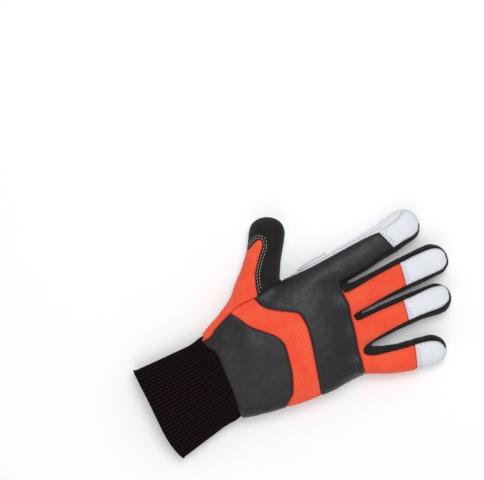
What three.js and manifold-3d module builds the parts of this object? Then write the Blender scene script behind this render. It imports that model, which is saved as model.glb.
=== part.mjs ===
// Chainsaw glove for the right hand, lying on its palm as if a hand filled it.
// Millimetres, +Z up out of the back of the hand, +Y along the fingers, the thumb towards -X.
// While it is worked out, the origin is the middle of the wrist seam on the surface that the glove lies on.
// The last lines move it to the middle of the glove's own bounding box, at the bottom.

import * as THREE from 'three';
import { mergeVertices } from 'three/addons/utils/BufferGeometryUtils.js';
import Module from 'manifold-3d';

const wasm = await Module();
wasm.setup();

// Driving sizes
const PALM_LENGTH = 130; // wrist seam to the front of the palm
const PALM_WIDTH = 108; // across the knuckles
const PALM_HEIGHT = 35; // back of the hand to the palm, filled
const FINGER_LENGTH = 114; // middle finger, from inside the palm to the tip
const FINGER_WIDTH = 29; // middle finger
const FINGER_HEIGHT = 24;
const FINGER_TIP = 13; // length of the rounded end
const THUMB_LENGTH = 79; // from its middle at the palm's edge to the tip
const THUMB_WIDTH = 29;
const THUMB_HEIGHT = 26;
const THUMB_TIP = 14; // length of the rounded end
const THUMB_ANGLE = 60; // degrees from the fingers towards -X
const CUFF_LENGTH = 69; // wrist seam to the open edge
const CUFF_HEIGHT = 25;
const CUFF_TUCK = 9; // how far the knit runs on inside the wrist
const WALL = 2; // leather or cloth with its lining
const KNIT_WALL = 2.2;
const RIB_COUNT = 46;
const RIB_DEPTH = 0.9;
const PATCH_THICK = 1.2; // second layer of leather on the palm
const PATCH_INSET = 1; // from the seams around it to the patch's edge
const SEAM_GAP = 0.35; // between two panels, and between two layers
const SEAM_HEIGHT = 12.5; // where the palm side meets the back along the thumb and round the tips
const SIDEWALL_TOP = 19.8; // where the side strips between the fingers meet the backs of the fingers
const SIDEWALL_FLAT = 20; // distance from the tip at which a side strip starts to narrow
const FLATTENED = 0.5; // how much the weight of the glove presses flat where it lies

// Shape of a cross-section: an upper and a lower half, each a superellipse
const WIDEST = 0.48; // height of the widest level, as a share of the section's height
const TOP_POWER = 2.3;
const BOTTOM_POWER = 3.2;

// Facets
const SKIN_SIDES = { palm: 22, finger: 16, thumb: 16 };
const LINING_SIDES = { palm: 14, finger: 10, thumb: 12, cuff: 22 };
const TIP_STEPS = 3;
const SEAM_STEP = 8; // length of one straight stretch of a curved seam
const FINEST = 0.005; // edges shorter than this close up

// Reach of the cutting tools past the glove
const FAR = 60;
const ABOVE = PALM_HEIGHT + FAR;
const BELOW = -FAR;

const PATCH_LIFT = PATCH_THICK + SEAM_GAP; // the palm lies on its patch
const HALF_GAP = SEAM_GAP / 2;

// Palm sections from wrist to front. Columns: thumb edge across and along, little-finger edge
// across and along, height. Across is a share of PALM_WIDTH, along of PALM_LENGTH, high of PALM_HEIGHT.
const PALM_ROWS = [
  { x0: -0.375, y0: -0.075, x1: 0.370, y1: -0.065, high: 0.80 },
  { x0: -0.389, y0: 0.010, x1: 0.378, y1: 0.015, high: 0.82 },
  { x0: -0.426, y0: 0.092, x1: 0.403, y1: 0.092, high: 0.87 },
  { x0: -0.449, y0: 0.231, x1: 0.436, y1: 0.246, high: 0.93 },
  { x0: -0.472, y0: 0.385, x1: 0.464, y1: 0.400, high: 0.98 },
  { x0: -0.491, y0: 0.546, x1: 0.481, y1: 0.554, high: 1.00 },
  { x0: -0.514, y0: 0.708, x1: 0.486, y1: 0.677, high: 1.00 },
  { x0: -0.528, y0: 0.815, x1: 0.482, y1: 0.754, high: 0.94 },
  { x0: -0.537, y0: 0.908, x1: 0.478, y1: 0.823, high: 0.80 },
  { x0: -0.542, y0: 0.985, x1: 0.482, y1: 0.892, high: 0.59 },
];
const PALM_FRONT = 0.077; // rounded front, as a share of PALM_LENGTH

// Fingers. Columns: middle of the root across and along the palm (shares of PALM_WIDTH and
// PALM_LENGTH), length and width (shares of FINGER_LENGTH and FINGER_WIDTH), lean in degrees
// towards the little finger, bow (share of FINGER_WIDTH), and where the tip's seam crosses the
// thumb side and the little-finger side of the back (shares of the finger's own length).
const FINGERS = [
  { name: 'index', x: -0.394, y: 0.862, length: 0.915, width: 1.045, lean: -7.2, bow: 0.060,
    seam0: 0.654, seam1: 0.705 },
  { name: 'middle', x: -0.120, y: 0.862, length: 1.000, width: 1.000, lean: -0.9, bow: 0.000,
    seam0: 0.637, seam1: 0.600 },
  { name: 'ring', x: 0.134, y: 0.831, length: 0.934, width: 0.914, lean: 1.6, bow: 0.000,
    seam0: 0.620, seam1: 0.580 },
  { name: 'little', x: 0.366, y: 0.831, length: 0.751, width: 0.914, lean: 12.8, bow: 0.055,
    seam0: 0.678, seam1: 0.648 },
];

// Finger sections from root to tip. Columns: along the finger (share of its length), width
// (share of its width), height (share of FINGER_HEIGHT), lift off the surface (share of PATCH_LIFT).
const FINGER_ROWS = [
  { along: -0.08, wide: 0.78, high: 1.04, lift: 3.2 },
  { along: 0.10, wide: 0.98, high: 1.14, lift: 1.2 },
  { along: 0.24, wide: 1.04, high: 1.06, lift: 0.7 },
  { along: 0.40, wide: 1.02, high: 1.02, lift: 0.0 },
  { along: 0.68, wide: 0.98, high: 0.97, lift: 0.0 },
];
const FINGER_END = { wide: 1.0, high: 0.92 }; // the section where the rounded end begins

// Thumb sections from root to tip. Columns: along (share of THUMB_LENGTH), the edge towards the
// wrist and the edge towards the index finger (shares of THUMB_WIDTH), height (share of
// THUMB_HEIGHT), lift (share of PATCH_LIFT).
const THUMB_ROOT = { x: -0.417, y: 0.385 }; // shares of PALM_WIDTH and PALM_LENGTH
const THUMB_ROWS = [
  { along: -0.253, outer: 1.240, inner: -0.690, high: 0.98, lift: 1.9 },
  { along: 0.000, outer: 0.760, inner: -0.760, high: 1.10, lift: 1.5 },
  { along: 0.253, outer: 0.517, inner: -0.776, high: 1.07, lift: 0.8 },
  { along: 0.443, outer: 0.355, inner: -0.769, high: 1.00, lift: 0.0 },
  { along: 0.633, outer: 0.241, inner: -0.748, high: 0.97, lift: 0.0 },
];
const THUMB_END = { outer: 0.241, inner: -0.766, high: 0.94 };

// Cuff sections from the open edge to the wrist. Columns: thumb side across and along,
// little-finger side across and along, height. Across is a share of PALM_WIDTH, along of
// CUFF_LENGTH, high of CUFF_HEIGHT.
const CUFF_ROWS = [
  { x0: -0.352, y0: -1.000, x1: 0.482, y1: -0.890, high: 1.00 },
  { x0: -0.341, y0: -0.955, x1: 0.472, y1: -0.845, high: 0.95 },
  { x0: -0.338, y0: -0.420, x1: 0.410, y1: -0.400, high: 0.95 },
  { x0: -0.340, y0: -0.170, x1: 0.372, y1: -0.170, high: 0.97 },
];

// Seams in plan. Columns: across as a share of PALM_WIDTH, along as a share of PALM_LENGTH.
const WRIST_SEAM = [[-0.9, 0.010], [-0.410, 0.008], [-0.343, -0.015], [-0.260, 0.010],
  [-0.185, 0.040], [0.000, 0.035], [0.185, 0.027], [0.380, 0.008], [0.9, 0.010]];
const WRIST_PATCH_SIDE = [[-0.333, -0.090], [-0.338, 0.038], [-0.380, 0.100], [-0.417, 0.177],
  [-0.444, 0.235]];
const WRIST_PATCH_TOP = [[-0.444, 0.235], [-0.370, 0.277], [-0.278, 0.323], [-0.204, 0.385],
  [-0.130, 0.446], [-0.074, 0.473], [-0.019, 0.481], [0.074, 0.469], [0.185, 0.450],
  [0.278, 0.423], [0.370, 0.385], [0.426, 0.331], [0.650, 0.170]];
const BAND_SIDE = [[-0.444, 0.235], [-0.472, 0.323], [-0.472, 0.423]];
const KNUCKLE_LOW = [[-0.472, 0.423], [-0.389, 0.454], [-0.343, 0.492], [-0.296, 0.546],
  [-0.259, 0.600], [-0.222, 0.646], [-0.185, 0.662], [-0.093, 0.669], [0.000, 0.658],
  [0.185, 0.623], [0.370, 0.585], [0.650, 0.528]];
const KNUCKLE_TOP = [[-0.256, 1.030], [-0.222, 0.988], [-0.093, 0.985], [0.046, 0.962],
  [0.231, 0.927], [0.472, 0.888], [0.650, 0.858]];
const THUMB_TOP = [[-0.472, 0.423], [-0.490, 0.540], [-0.505, 0.646]];
const WRAP_ON_PALM = [[-0.505, 0.646], [-0.505, 0.769], [-0.509, 0.885]];
const CROTCH = [[-0.505, 0.646], [-0.760, 0.840]];
const THUMB_PALM_SEAM = [[-0.505, 0.646], [-0.426, 0.631], [-0.370, 0.585], [-0.338, 0.508],
  [-0.315, 0.408], [-0.301, 0.300], [-0.292, 0.185], [-0.282, 0.077], [-0.278, -0.090]];
const OUTER_PALM_SEAM = [[0.343, -0.090], [0.356, 0.015], [0.375, 0.092], [0.407, 0.246],
  [0.435, 0.400], [0.454, 0.554], [0.458, 0.692]];
const PATCH_TOP = [[-0.760, 1.030], [-0.528, 1.008], [-0.370, 0.992], [-0.185, 0.973],
  [0.000, 0.958], [0.185, 0.938], [0.324, 0.915], [0.560, 0.875]];
const WEBS = [[-0.269, 1.008], [0.000, 0.996], [0.287, 0.965]]; // where the side strips turn, on the palm

// Seams on the index finger and the thumb. Columns: along as a share of the limb's length, across
// as a share of half its width, towards the little finger on the index and the wrist on the thumb.
const WRAP_ON_INDEX = [[0.234, -0.66], [0.426, -0.56], [0.569, -0.47], [0.654, -0.36]];
const WRAP_ON_TIP = [[0.654, -0.36], [0.761, -0.45], [0.870, -0.56], [0.960, -0.90], [1.060, -1.40]];
const THUMB_SEAM = [[0.127, -0.31], [0.237, -0.17], [0.372, -0.06], [0.529, -0.17], [0.665, -0.34],
  [0.732, -0.28], [0.743, -0.05], [0.689, 0.26], [0.635, 0.48], [0.560, 1.10]];
const STRIP_EDGE = 0.69; // palm edge of a side strip, as a share of half the finger's width
const OUTER_EDGE = 0.78; // the same on the outside of the little finger
const OUTER_STEPS = [0, 0.3, 0.6, 0.8, 1.2]; // points of that edge, as shares of the finger's length
const STRIP_START = 0.04; // inside the palm, as a share of the finger's length
const STRIP_TURN = 0.26; // where its palm edge turns to the web, as a share of the finger's length
const WEB_NOTCH = 0.1; // half the width of that turn, as a share of FINGER_WIDTH
const CLEAR_SIDE = 1.25; // clear of a finger's side, as a share of half its width
const CLEAR_TIP = 1.2; // clear of a finger's end, as a share of its length
const TUCK_STEPS = [-0.4, 1]; // tucked sections of the cuff, as shares of CUFF_TUCK past the wrist

const vector = (x, y) => new THREE.Vector2(x, y);
const onPalm = (rows) => rows.map(([x, y]) => vector(x * PALM_WIDTH, y * PALM_LENGTH));

// Smooth seam through its points, as short straight stretches
function seam(points) {
  const curve = new THREE.SplineCurve(points);
  return curve.getSpacedPoints(Math.max(2, Math.round(curve.getLength() / SEAM_STEP)));
}

// A limb's own frame in plan: its root, its direction and the direction to its right
function limbFrame(x, y, lean) {
  const angle = THREE.MathUtils.degToRad(lean);
  const forward = vector(Math.sin(angle), Math.cos(angle));
  const right = vector(forward.y, -forward.x);
  return { root: vector(x * PALM_WIDTH, y * PALM_LENGTH), forward, right };
}

function inFrame(frame, along, across) {
  return frame.root.clone().addScaledVector(frame.forward, along).addScaledVector(frame.right, across);
}

// Each finger with its sizes in millimetres and its frame
const fingers = FINGERS.map((row) => ({
  ...row,
  length: row.length * FINGER_LENGTH,
  half: row.width * FINGER_WIDTH / 2,
  bow: row.bow * FINGER_WIDTH,
  frame: limbFrame(row.x, row.y, row.lean),
}));
const [index, middle, ring, little] = fingers;
const thumbFrame = limbFrame(THUMB_ROOT.x, THUMB_ROOT.y, -THUMB_ANGLE);

// A point on a finger, by shares of its length and of half its width
const onFinger = (finger, along, across) =>
  inFrame(finger.frame, along * finger.length, across * finger.half);
const onThumb = (along, outer) => inFrame(thumbFrame, along * THUMB_LENGTH, -outer * THUMB_WIDTH / 2);

// One ring of points round a section, which runs from its left edge to its right edge in plan.
// grow moves the ring out, or in where it is negative; shrink then scales it about its middle.
function sectionRing(section, sides, grow, shrink = 1, ribDepth = 0) {
  const across = section.right.clone().sub(section.left);
  const half = across.length() / 2 + grow;
  across.normalize();
  const centre = section.left.clone().add(section.right).multiplyScalar(0.5);
  const level = section.low + WIDEST * section.high;
  const up = (1 - WIDEST) * section.high + grow;
  const down = WIDEST * section.high + grow;
  const points = [];
  for (let i = 0; i < sides; i += 1) {
    const angle = 2 * Math.PI * i / sides;
    const [c, s] = [Math.cos(angle), Math.sin(angle)];
    const power = 2 / (s >= 0 ? TOP_POWER : BOTTOM_POWER);
    const rib = i % 2 === 0 ? 0 : -ribDepth;
    const sideways = (half + rib) * Math.sign(c) * Math.abs(c) ** power * shrink;
    const upward = ((s >= 0 ? up : down) + rib) * Math.sign(s) * Math.abs(s) ** power * shrink;
    points.push(new THREE.Vector3(
      centre.x + across.x * sideways, centre.y + across.y * sideways, level + upward));
  }
  return points;
}

// The rings of a rounded end that follows a last section
function roundedEnd(section, forward, length, sides, grow, side = 0) {
  const rings = [];
  for (let step = 1; step <= TIP_STEPS; step += 1) {
    const angle = Math.PI / 2 * step / TIP_STEPS;
    const shift = forward.clone().multiplyScalar((length + grow) * Math.sin(angle));
    const narrowing = side * (1 - Math.cos(angle));
    const across = section.right.clone().sub(section.left).normalize().multiplyScalar(narrowing);
    const moved = {
      ...section,
      left: section.left.clone().add(shift).add(across),
      right: section.right.clone().add(shift).sub(across),
    };
    const ringPoints = sectionRing(moved, sides, grow, side ? 1 : Math.cos(angle));
    if (side) {
      const level = section.low + WIDEST * section.high;
      ringPoints.forEach((point) => { point.z = level + (point.z - level) * Math.cos(angle); });
    }
    rings.push(ringPoints);
  }
  return rings;
}

// A closed solid through rings of equal count, with a flat fan over each end
function loft(rings) {
  const sides = rings[0].length;
  const middleOf = (points) => points.reduce((sum, p) => sum.add(p), new THREE.Vector3())
    .divideScalar(sides);
  const points = [...rings.flat(), middleOf(rings[0]), middleOf(rings.at(-1))];
  const first = rings.length * sides;
  const last = (rings.length - 1) * sides;
  const faces = [];
  for (let i = 0; i < sides; i += 1) {
    const next = (i + 1) % sides;
    faces.push(first, i, next, first + 1, last + next, last + i);
    for (let row = 0; row < rings.length - 1; row += 1) {
      const a = row * sides + i;
      const b = row * sides + next;
      faces.push(a, b + sides, b, a, a + sides, b + sides);
    }
  }
  const geometry = new THREE.BufferGeometry().setFromPoints(points);
  geometry.setIndex(faces);
  return solid(geometry);
}

// A geometry as a solid that can be joined and cut
function solid(geometry) {
  const bare = geometry.clone();
  bare.deleteAttribute('normal');
  bare.deleteAttribute('uv');
  const merged = mergeVertices(bare, 1e-5);
  const kept = [];
  const order = merged.index.array;
  for (let i = 0; i < order.length; i += 3) {
    const face = [order[i], order[i + 1], order[i + 2]];
    if (new Set(face).size === 3) kept.push(...face);
  }
  return new wasm.Manifold(new wasm.Mesh({
    numProp: 3,
    vertProperties: new Float32Array(merged.attributes.position.array),
    triVerts: new Uint32Array(kept),
  }));
}

const union = (solids) => solids.reduce((sum, next) => sum.add(next));

// An upright prism over an outline in plan
function prism(outline, bottom, top) {
  const shape = new THREE.Shape(outline);
  const geometry = new THREE.ExtrudeGeometry(shape, { depth: top - bottom, bevelEnabled: false });
  return solid(geometry.translate(0, 0, bottom));
}

// A prism over an outline in a limb's side view (along, up), from one distance across it to another
function sidePrism(frame, outline, from, to) {
  const geometry = new THREE.ExtrudeGeometry(new THREE.Shape(outline), {
    depth: to - from, bevelEnabled: false });
  geometry.translate(0, 0, from);
  const turn = new THREE.Matrix4().makeBasis(
    new THREE.Vector3(frame.forward.x, frame.forward.y, 0),
    new THREE.Vector3(0, 0, 1),
    new THREE.Vector3(frame.right.x, frame.right.y, 0));
  turn.setPosition(frame.root.x, frame.root.y, 0);
  return solid(geometry.applyMatrix4(turn));
}

// An outline moved outwards by a distance, or inwards where it is negative
function offset(outline, distance) {
  const turn = THREE.ShapeUtils.area(outline) > 0 ? 1 : -1;
  const count = outline.length;
  const normals = outline.map((point, i) => {
    const edge = outline[(i + 1) % count].clone().sub(point).normalize();
    return vector(edge.y * turn, -edge.x * turn);
  });
  return outline.map((point, i) => {
    const before = normals[(i + count - 1) % count];
    const after = normals[i];
    const share = distance / (1 + before.dot(after));
    return point.clone().addScaledVector(before, share).addScaledVector(after, share);
  });
}

// Joins stretches of an outline and drops the points that they share
function outlineOf(...stretches) {
  const points = stretches.flat();
  return points.filter((point, i) => point.distanceTo(points[(i + 1) % points.length]) > 0.01);
}

// Forms of the filled hand

function palmSection(row) {
  return {
    left: vector(row.x0 * PALM_WIDTH, row.y0 * PALM_LENGTH),
    right: vector(row.x1 * PALM_WIDTH, row.y1 * PALM_LENGTH),
    low: PATCH_LIFT,
    high: row.high * PALM_HEIGHT,
  };
}

const palmSections = PALM_ROWS.map(palmSection);

const sidesFor = (grow) => (grow < 0 ? LINING_SIDES : SKIN_SIDES);

function palmForm(grow) {
  const sides = sidesFor(grow).palm;
  const first = palmSections[0];
  const open = { ...first, left: first.left.clone(), right: first.right.clone() };
  if (grow < 0) {
    open.left.y -= FAR;
    open.right.y -= FAR;
  }
  const sections = grow < 0 ? [open, ...palmSections] : palmSections;
  const rings = sections.map((section) => sectionRing(section, sides, grow));
  const last = palmSections.at(-1);
  const across = last.right.clone().sub(last.left).normalize();
  const forward = vector(-across.y, across.x);
  const front = PALM_FRONT * PALM_LENGTH;
  return loft([...rings, ...roundedEnd(last, forward, front, sides, grow, front)]);
}

function fingerForm(finger, grow) {
  const { frame, length, half, bow } = finger;
  const sides = sidesFor(grow).finger;
  const section = (along, row) => {
    const sway = bow * Math.sin(Math.PI * along / length);
    return {
      left: inFrame(frame, along, sway - row.wide * half),
      right: inFrame(frame, along, sway + row.wide * half),
      low: (row.lift ?? 0) * PATCH_LIFT - FLATTENED,
      high: row.high * FINGER_HEIGHT + FLATTENED,
    };
  };
  const rings = FINGER_ROWS.map((row) => sectionRing(section(row.along * length, row), sides, grow));
  const end = section(length - FINGER_TIP, FINGER_END);
  rings.push(sectionRing(end, sides, grow));
  return loft([...rings, ...roundedEnd(end, frame.forward, FINGER_TIP, sides, grow)]);
}

function thumbForm(grow) {
  const sides = sidesFor(grow).thumb;
  const section = (along, row) => ({
    left: inFrame(thumbFrame, along, -row.outer * THUMB_WIDTH),
    right: inFrame(thumbFrame, along, -row.inner * THUMB_WIDTH),
    low: (row.lift ?? 0) * PATCH_LIFT - FLATTENED,
    high: row.high * THUMB_HEIGHT + FLATTENED,
  });
  const rings = THUMB_ROWS.map((row) =>
    sectionRing(section(row.along * THUMB_LENGTH, row), sides, grow));
  const end = section(THUMB_LENGTH - THUMB_TIP, THUMB_END);
  rings.push(sectionRing(end, sides, grow));
  return loft([...rings, ...roundedEnd(end, thumbFrame.forward, THUMB_TIP, sides, grow)]);
}

const handForm = (grow) => union([
  palmForm(grow), ...fingers.map((finger) => fingerForm(finger, grow)), thumbForm(grow)]);

// Cutting outlines

const wristSeam = seam(onPalm(WRIST_SEAM));
const wristPatchSide = seam(onPalm(WRIST_PATCH_SIDE));
const wristPatchTop = seam(onPalm(WRIST_PATCH_TOP));
const bandSide = seam(onPalm(BAND_SIDE));
const knuckleLow = seam(onPalm(KNUCKLE_LOW));
const knuckleTop = seam(onPalm(KNUCKLE_TOP));
const thumbTop = seam(onPalm(THUMB_TOP));
const crotch = onPalm(CROTCH);
const thumbPalmSeam = seam(onPalm(THUMB_PALM_SEAM));
const wrap = seam([...onPalm(WRAP_ON_PALM), ...WRAP_ON_INDEX.map(([s, a]) => onFinger(index, s, a))]);
const wrapTip = seam(WRAP_ON_TIP.map(([s, a]) => onFinger(index, s, a)));
const thumbSeam = seam([thumbTop[0], ...THUMB_SEAM.map(([s, a]) => onThumb(s, a))]);
const outerSeam = seam([...onPalm(OUTER_PALM_SEAM),
  ...OUTER_STEPS.map((along) => onFinger(little, along, OUTER_EDGE))]);
const patchTop = seam(onPalm(PATCH_TOP));

const westEdge = -PALM_WIDTH - THUMB_LENGTH;
const eastEdge = PALM_WIDTH + FAR;
const southEdge = -CUFF_LENGTH - FAR;
const northEdge = PALM_LENGTH + FINGER_LENGTH;

// A tip's seam across the back of a finger
const tipSeam = (finger) => [
  onFinger(finger, finger.seam0, -CLEAR_SIDE), onFinger(finger, finger.seam1, CLEAR_SIDE)];

// The zone of the side strip round the gap between two fingers, with all its limits moved out by
// a distance
function stripZone(web, pair, distance) {
  const [before, after] = pair;
  const notch = vector(WEB_NOTCH * FINGER_WIDTH, 0);
  const plan = [
    onFinger(before, CLEAR_TIP, STRIP_EDGE), onFinger(before, STRIP_TURN, STRIP_EDGE),
    web.clone().sub(notch), web.clone().add(notch),
    onFinger(after, STRIP_TURN, -STRIP_EDGE), onFinger(after, CLEAR_TIP, -STRIP_EDGE)];
  const lower = prism(offset(plan, distance), BELOW, SEAM_HEIGHT + WALL / 2);
  const uppers = pair.map((finger) => {
    const { length, half, frame } = finger;
    const start = STRIP_START * length - distance;
    const end = length - WALL + distance;
    const side = [
      vector(start, SEAM_HEIGHT - distance),
      vector(end, SEAM_HEIGHT - distance),
      vector(end, SEAM_HEIGHT + 2 * SEAM_GAP + distance),
      vector(length - SIDEWALL_FLAT, SIDEWALL_TOP + distance),
      vector(start, SIDEWALL_TOP + distance)];
    const reach = CLEAR_SIDE * half;
    return sidePrism(frame, side, finger === before ? 0 : -reach, finger === before ? reach : 0);
  });
  return union([lower, ...uppers]);
}

// The zone of the panels on the back. Along the outside of the hand it reaches round to the palm,
// and on the thumb side of the index finger the palm's leather wraps up into it instead.
function backZone(distance) {
  const everywhere = [vector(westEdge, southEdge), vector(eastEdge, southEdge),
    vector(eastEdge, northEdge), vector(westEdge, northEdge)];
  const upper = prism(everywhere, SEAM_HEIGHT - distance, ABOVE);
  const outside = prism(offset(outlineOf(outerSeam, [vector(eastEdge, northEdge),
    vector(eastEdge, southEdge)]), distance), BELOW, ABOVE);
  const wrapped = prism(offset(wrapOutline(), -distance), BELOW, ABOVE);
  return upper.add(outside).subtract(wrapped);
}

const wrapOutline = () => outlineOf(crotch.toReversed(), wrap, wrapTip,
  [vector(westEdge, northEdge), vector(westEdge, crotch[1].y)]);

// All that lies on the wrist's side of a line across the glove
const behind = (line) => outlineOf(line, [vector(eastEdge, line.at(-1).y), vector(eastEdge, southEdge),
  vector(westEdge, southEdge), vector(westEdge, line[0].y)]);

// Panels

const skin = handForm(0);
const hollow = handForm(-WALL);
const floor = prism([vector(westEdge, southEdge), vector(eastEdge, southEdge),
  vector(eastEdge, northEdge), vector(westEdge, northEdge)], BELOW, 0);
const pastWrist = outlineOf(wristSeam, [vector(eastEdge, northEdge), vector(westEdge, northEdge)]);
const behindWrist = prism(behind(wristSeam), BELOW, ABOVE);
const shell = skin.subtract(hollow).subtract(floor).subtract(behindWrist);

const stripZones = (distance) => onPalm(WEBS).map((web, i) =>
  stripZone(web, [fingers[i], fingers[i + 1]], distance));
const strips = stripZones(-HALF_GAP).map((zone) => shell.intersect(zone));
const withoutStrips = shell.subtract(union(stripZones(HALF_GAP)));
const back = withoutStrips.intersect(backZone(-HALF_GAP));
const front = withoutStrips.subtract(backZone(HALF_GAP));

// The panel of the back inside an outline in plan
const backPanel = (outline) => back.intersect(prism(offset(outline, -HALF_GAP), BELOW, ABOVE));

const tips = fingers.map((finger) => {
  const line = finger === index
    ? [...wrapTip.toReversed(), tipSeam(finger)[1]] : tipSeam(finger);
  return backPanel(outlineOf(line,
    [onFinger(finger, CLEAR_TIP, CLEAR_SIDE), onFinger(finger, CLEAR_TIP, -CLEAR_SIDE)]));
});

const fingerBackOutline = outlineOf(knuckleTop,
  tipSeam(little).toReversed(), tipSeam(ring).toReversed(), tipSeam(middle).toReversed());

const knucklePatchOutline = outlineOf(knuckleLow, knuckleTop.toReversed(),
  [tipSeam(index)[1]], wrap.toReversed(), thumbTop.toReversed());

const bandOutline = outlineOf(wristPatchTop, knuckleLow.toReversed(), bandSide.toReversed());

const wristPatchOutline = outlineOf(wristPatchSide, wristPatchTop,
  [vector(eastEdge, southEdge)]);

const thumbBackOutline = outlineOf(thumbTop, crotch,
  [vector(westEdge, crotch[1].y), thumbSeam.at(-1).clone()], thumbSeam.toReversed());

const thumbSideOutline = outlineOf(thumbSeam, [vector(westEdge, southEdge),
  vector(wristPatchSide[0].x, southEdge)], wristPatchSide, bandSide);

const thumbPalmOutline = outlineOf(crotch.toReversed(), thumbPalmSeam,
  [vector(westEdge, southEdge), vector(westEdge, crotch[1].y)]);

const thumbPalm = front.intersect(prism(offset(thumbPalmOutline, -HALF_GAP), BELOW, ABOVE));
const palmLeather = front.subtract(prism(offset(thumbPalmOutline, HALF_GAP), BELOW, ABOVE));

// The second layer on the palm, between its seams and round the thumb side under the index finger
function palmPatch() {
  const under = outlineOf(outerSeam.toReversed(), thumbPalmSeam.toReversed(), crotch,
    [vector(crotch[1].x, northEdge), vector(outerSeam.at(-1).x, northEdge)]);
  const inset = (outline, top) => prism(offset(outline, -PATCH_INSET), BELOW, top);
  const zone = inset(under, SEAM_HEIGHT + WALL / 2).add(inset(wrapOutline(), ABOVE))
    .intersect(inset(behind(patchTop), ABOVE));
  const layer = handForm(PATCH_LIFT + FLATTENED).subtract(handForm(SEAM_GAP));
  return layer.intersect(zone).subtract(floor).subtract(behindWrist);
}

// Ribbed knit cuff, which runs on inside the wrist with a clearance all round
function knitCuff() {
  const rows = CUFF_ROWS.map((row) => ({
    left: vector(row.x0 * PALM_WIDTH, row.y0 * CUFF_LENGTH),
    right: vector(row.x1 * PALM_WIDTH, row.y1 * CUFF_LENGTH),
    low: 0,
    high: row.high * CUFF_HEIGHT,
  }));
  const clearance = -(WALL + SEAM_GAP);
  const wrist = palmSections[1];
  const tucked = TUCK_STEPS.map((share) => {
    const shift = vector(0, share * CUFF_TUCK - wrist.left.y);
    return { ...wrist, left: wrist.left.clone().add(shift), right: wrist.right.clone().add(shift) };
  });
  const outer = [
    ...rows.map((row) => sectionRing(row, 2 * RIB_COUNT, 0, 1, RIB_DEPTH)),
    ...tucked.map((row) => sectionRing(row, 2 * RIB_COUNT, clearance, 1, RIB_DEPTH))];
  const past = (row, distance) => {
    const shift = vector(0, distance);
    return { ...row, left: row.left.clone().add(shift), right: row.right.clone().add(shift) };
  };
  const inner = [
    sectionRing(past(rows[0], -FAR), LINING_SIDES.cuff, -KNIT_WALL),
    ...rows.map((row) => sectionRing(row, LINING_SIDES.cuff, -KNIT_WALL)),
    ...tucked.map((row) => sectionRing(row, LINING_SIDES.cuff, clearance - KNIT_WALL)),
    sectionRing(past(tucked[1], FAR), LINING_SIDES.cuff, clearance - KNIT_WALL)];
  const sleeve = palmForm(clearance);
  const pastSeam = prism(offset(pastWrist, SEAM_GAP), BELOW, ABOVE);
  return loft(outer).subtract(loft(inner)).subtract(pastSeam.subtract(sleeve));
}

// Materials

const materials = {
  whiteLeather: { color: 0xe6eaf0, roughness: 0.6 },
  blackLeather: { color: 0x37373a, roughness: 0.55 },
  orangeCloth: { color: 0xff5537, roughness: 0.8 },
  blackCloth: { color: 0x17171a, roughness: 0.85 },
  blackKnit: { color: 0x191214, roughness: 0.95 },
};

function meshOf(name, body, material) {
  const { vertProperties, triVerts } = body.simplify(FINEST).getMesh();
  const geometry = new THREE.BufferGeometry();
  geometry.setAttribute('position', new THREE.BufferAttribute(new Float32Array(vertProperties), 3));
  geometry.setIndex(new THREE.BufferAttribute(new Uint32Array(triVerts), 1));
  const mesh = new THREE.Mesh(geometry, new THREE.MeshStandardMaterial({ metalness: 0, ...material }));
  mesh.name = name;
  return mesh;
}

const glove = new THREE.Group();
glove.add(meshOf('knit_cuff', knitCuff(), materials.blackKnit));
glove.add(meshOf('palm_leather', palmLeather, materials.whiteLeather));
glove.add(meshOf('palm_patch', palmPatch(), materials.whiteLeather));
glove.add(meshOf('thumb_palm', thumbPalm, materials.whiteLeather));
glove.add(meshOf('thumb_back', backPanel(thumbBackOutline), materials.blackCloth));
glove.add(meshOf('thumb_side', backPanel(thumbSideOutline), materials.orangeCloth));
glove.add(meshOf('wrist_patch', backPanel(wristPatchOutline), materials.blackLeather));
glove.add(meshOf('back_band', backPanel(bandOutline), materials.orangeCloth));
glove.add(meshOf('knuckle_patch', backPanel(knucklePatchOutline), materials.blackLeather));
glove.add(meshOf('finger_backs', backPanel(fingerBackOutline), materials.orangeCloth));
strips.forEach((strip, i) => {
  const name = `strip_${fingers[i].name}_${fingers[i + 1].name}`;
  glove.add(meshOf(name, strip, materials.blackCloth));
});
fingers.forEach((finger, i) => {
  glove.add(meshOf(`tip_${finger.name}`, tips[i], materials.whiteLeather));
});

const box = new THREE.Box3().setFromObject(glove);
glove.position.set(-(box.min.x + box.max.x) / 2, -(box.min.y + box.max.y) / 2, -box.min.z);

export default glove;
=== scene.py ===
# Chainsaw glove for the right hand, lying on its palm: the looks of each piece, built over the
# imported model. Lengths are in millimetres until a mesh is made. They are measured, as in the part's
# source, from the middle of the wrist seam on the floor, with +Y along the fingers, +Z up out of
# the back of the hand and the thumb towards -X.

import math

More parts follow.
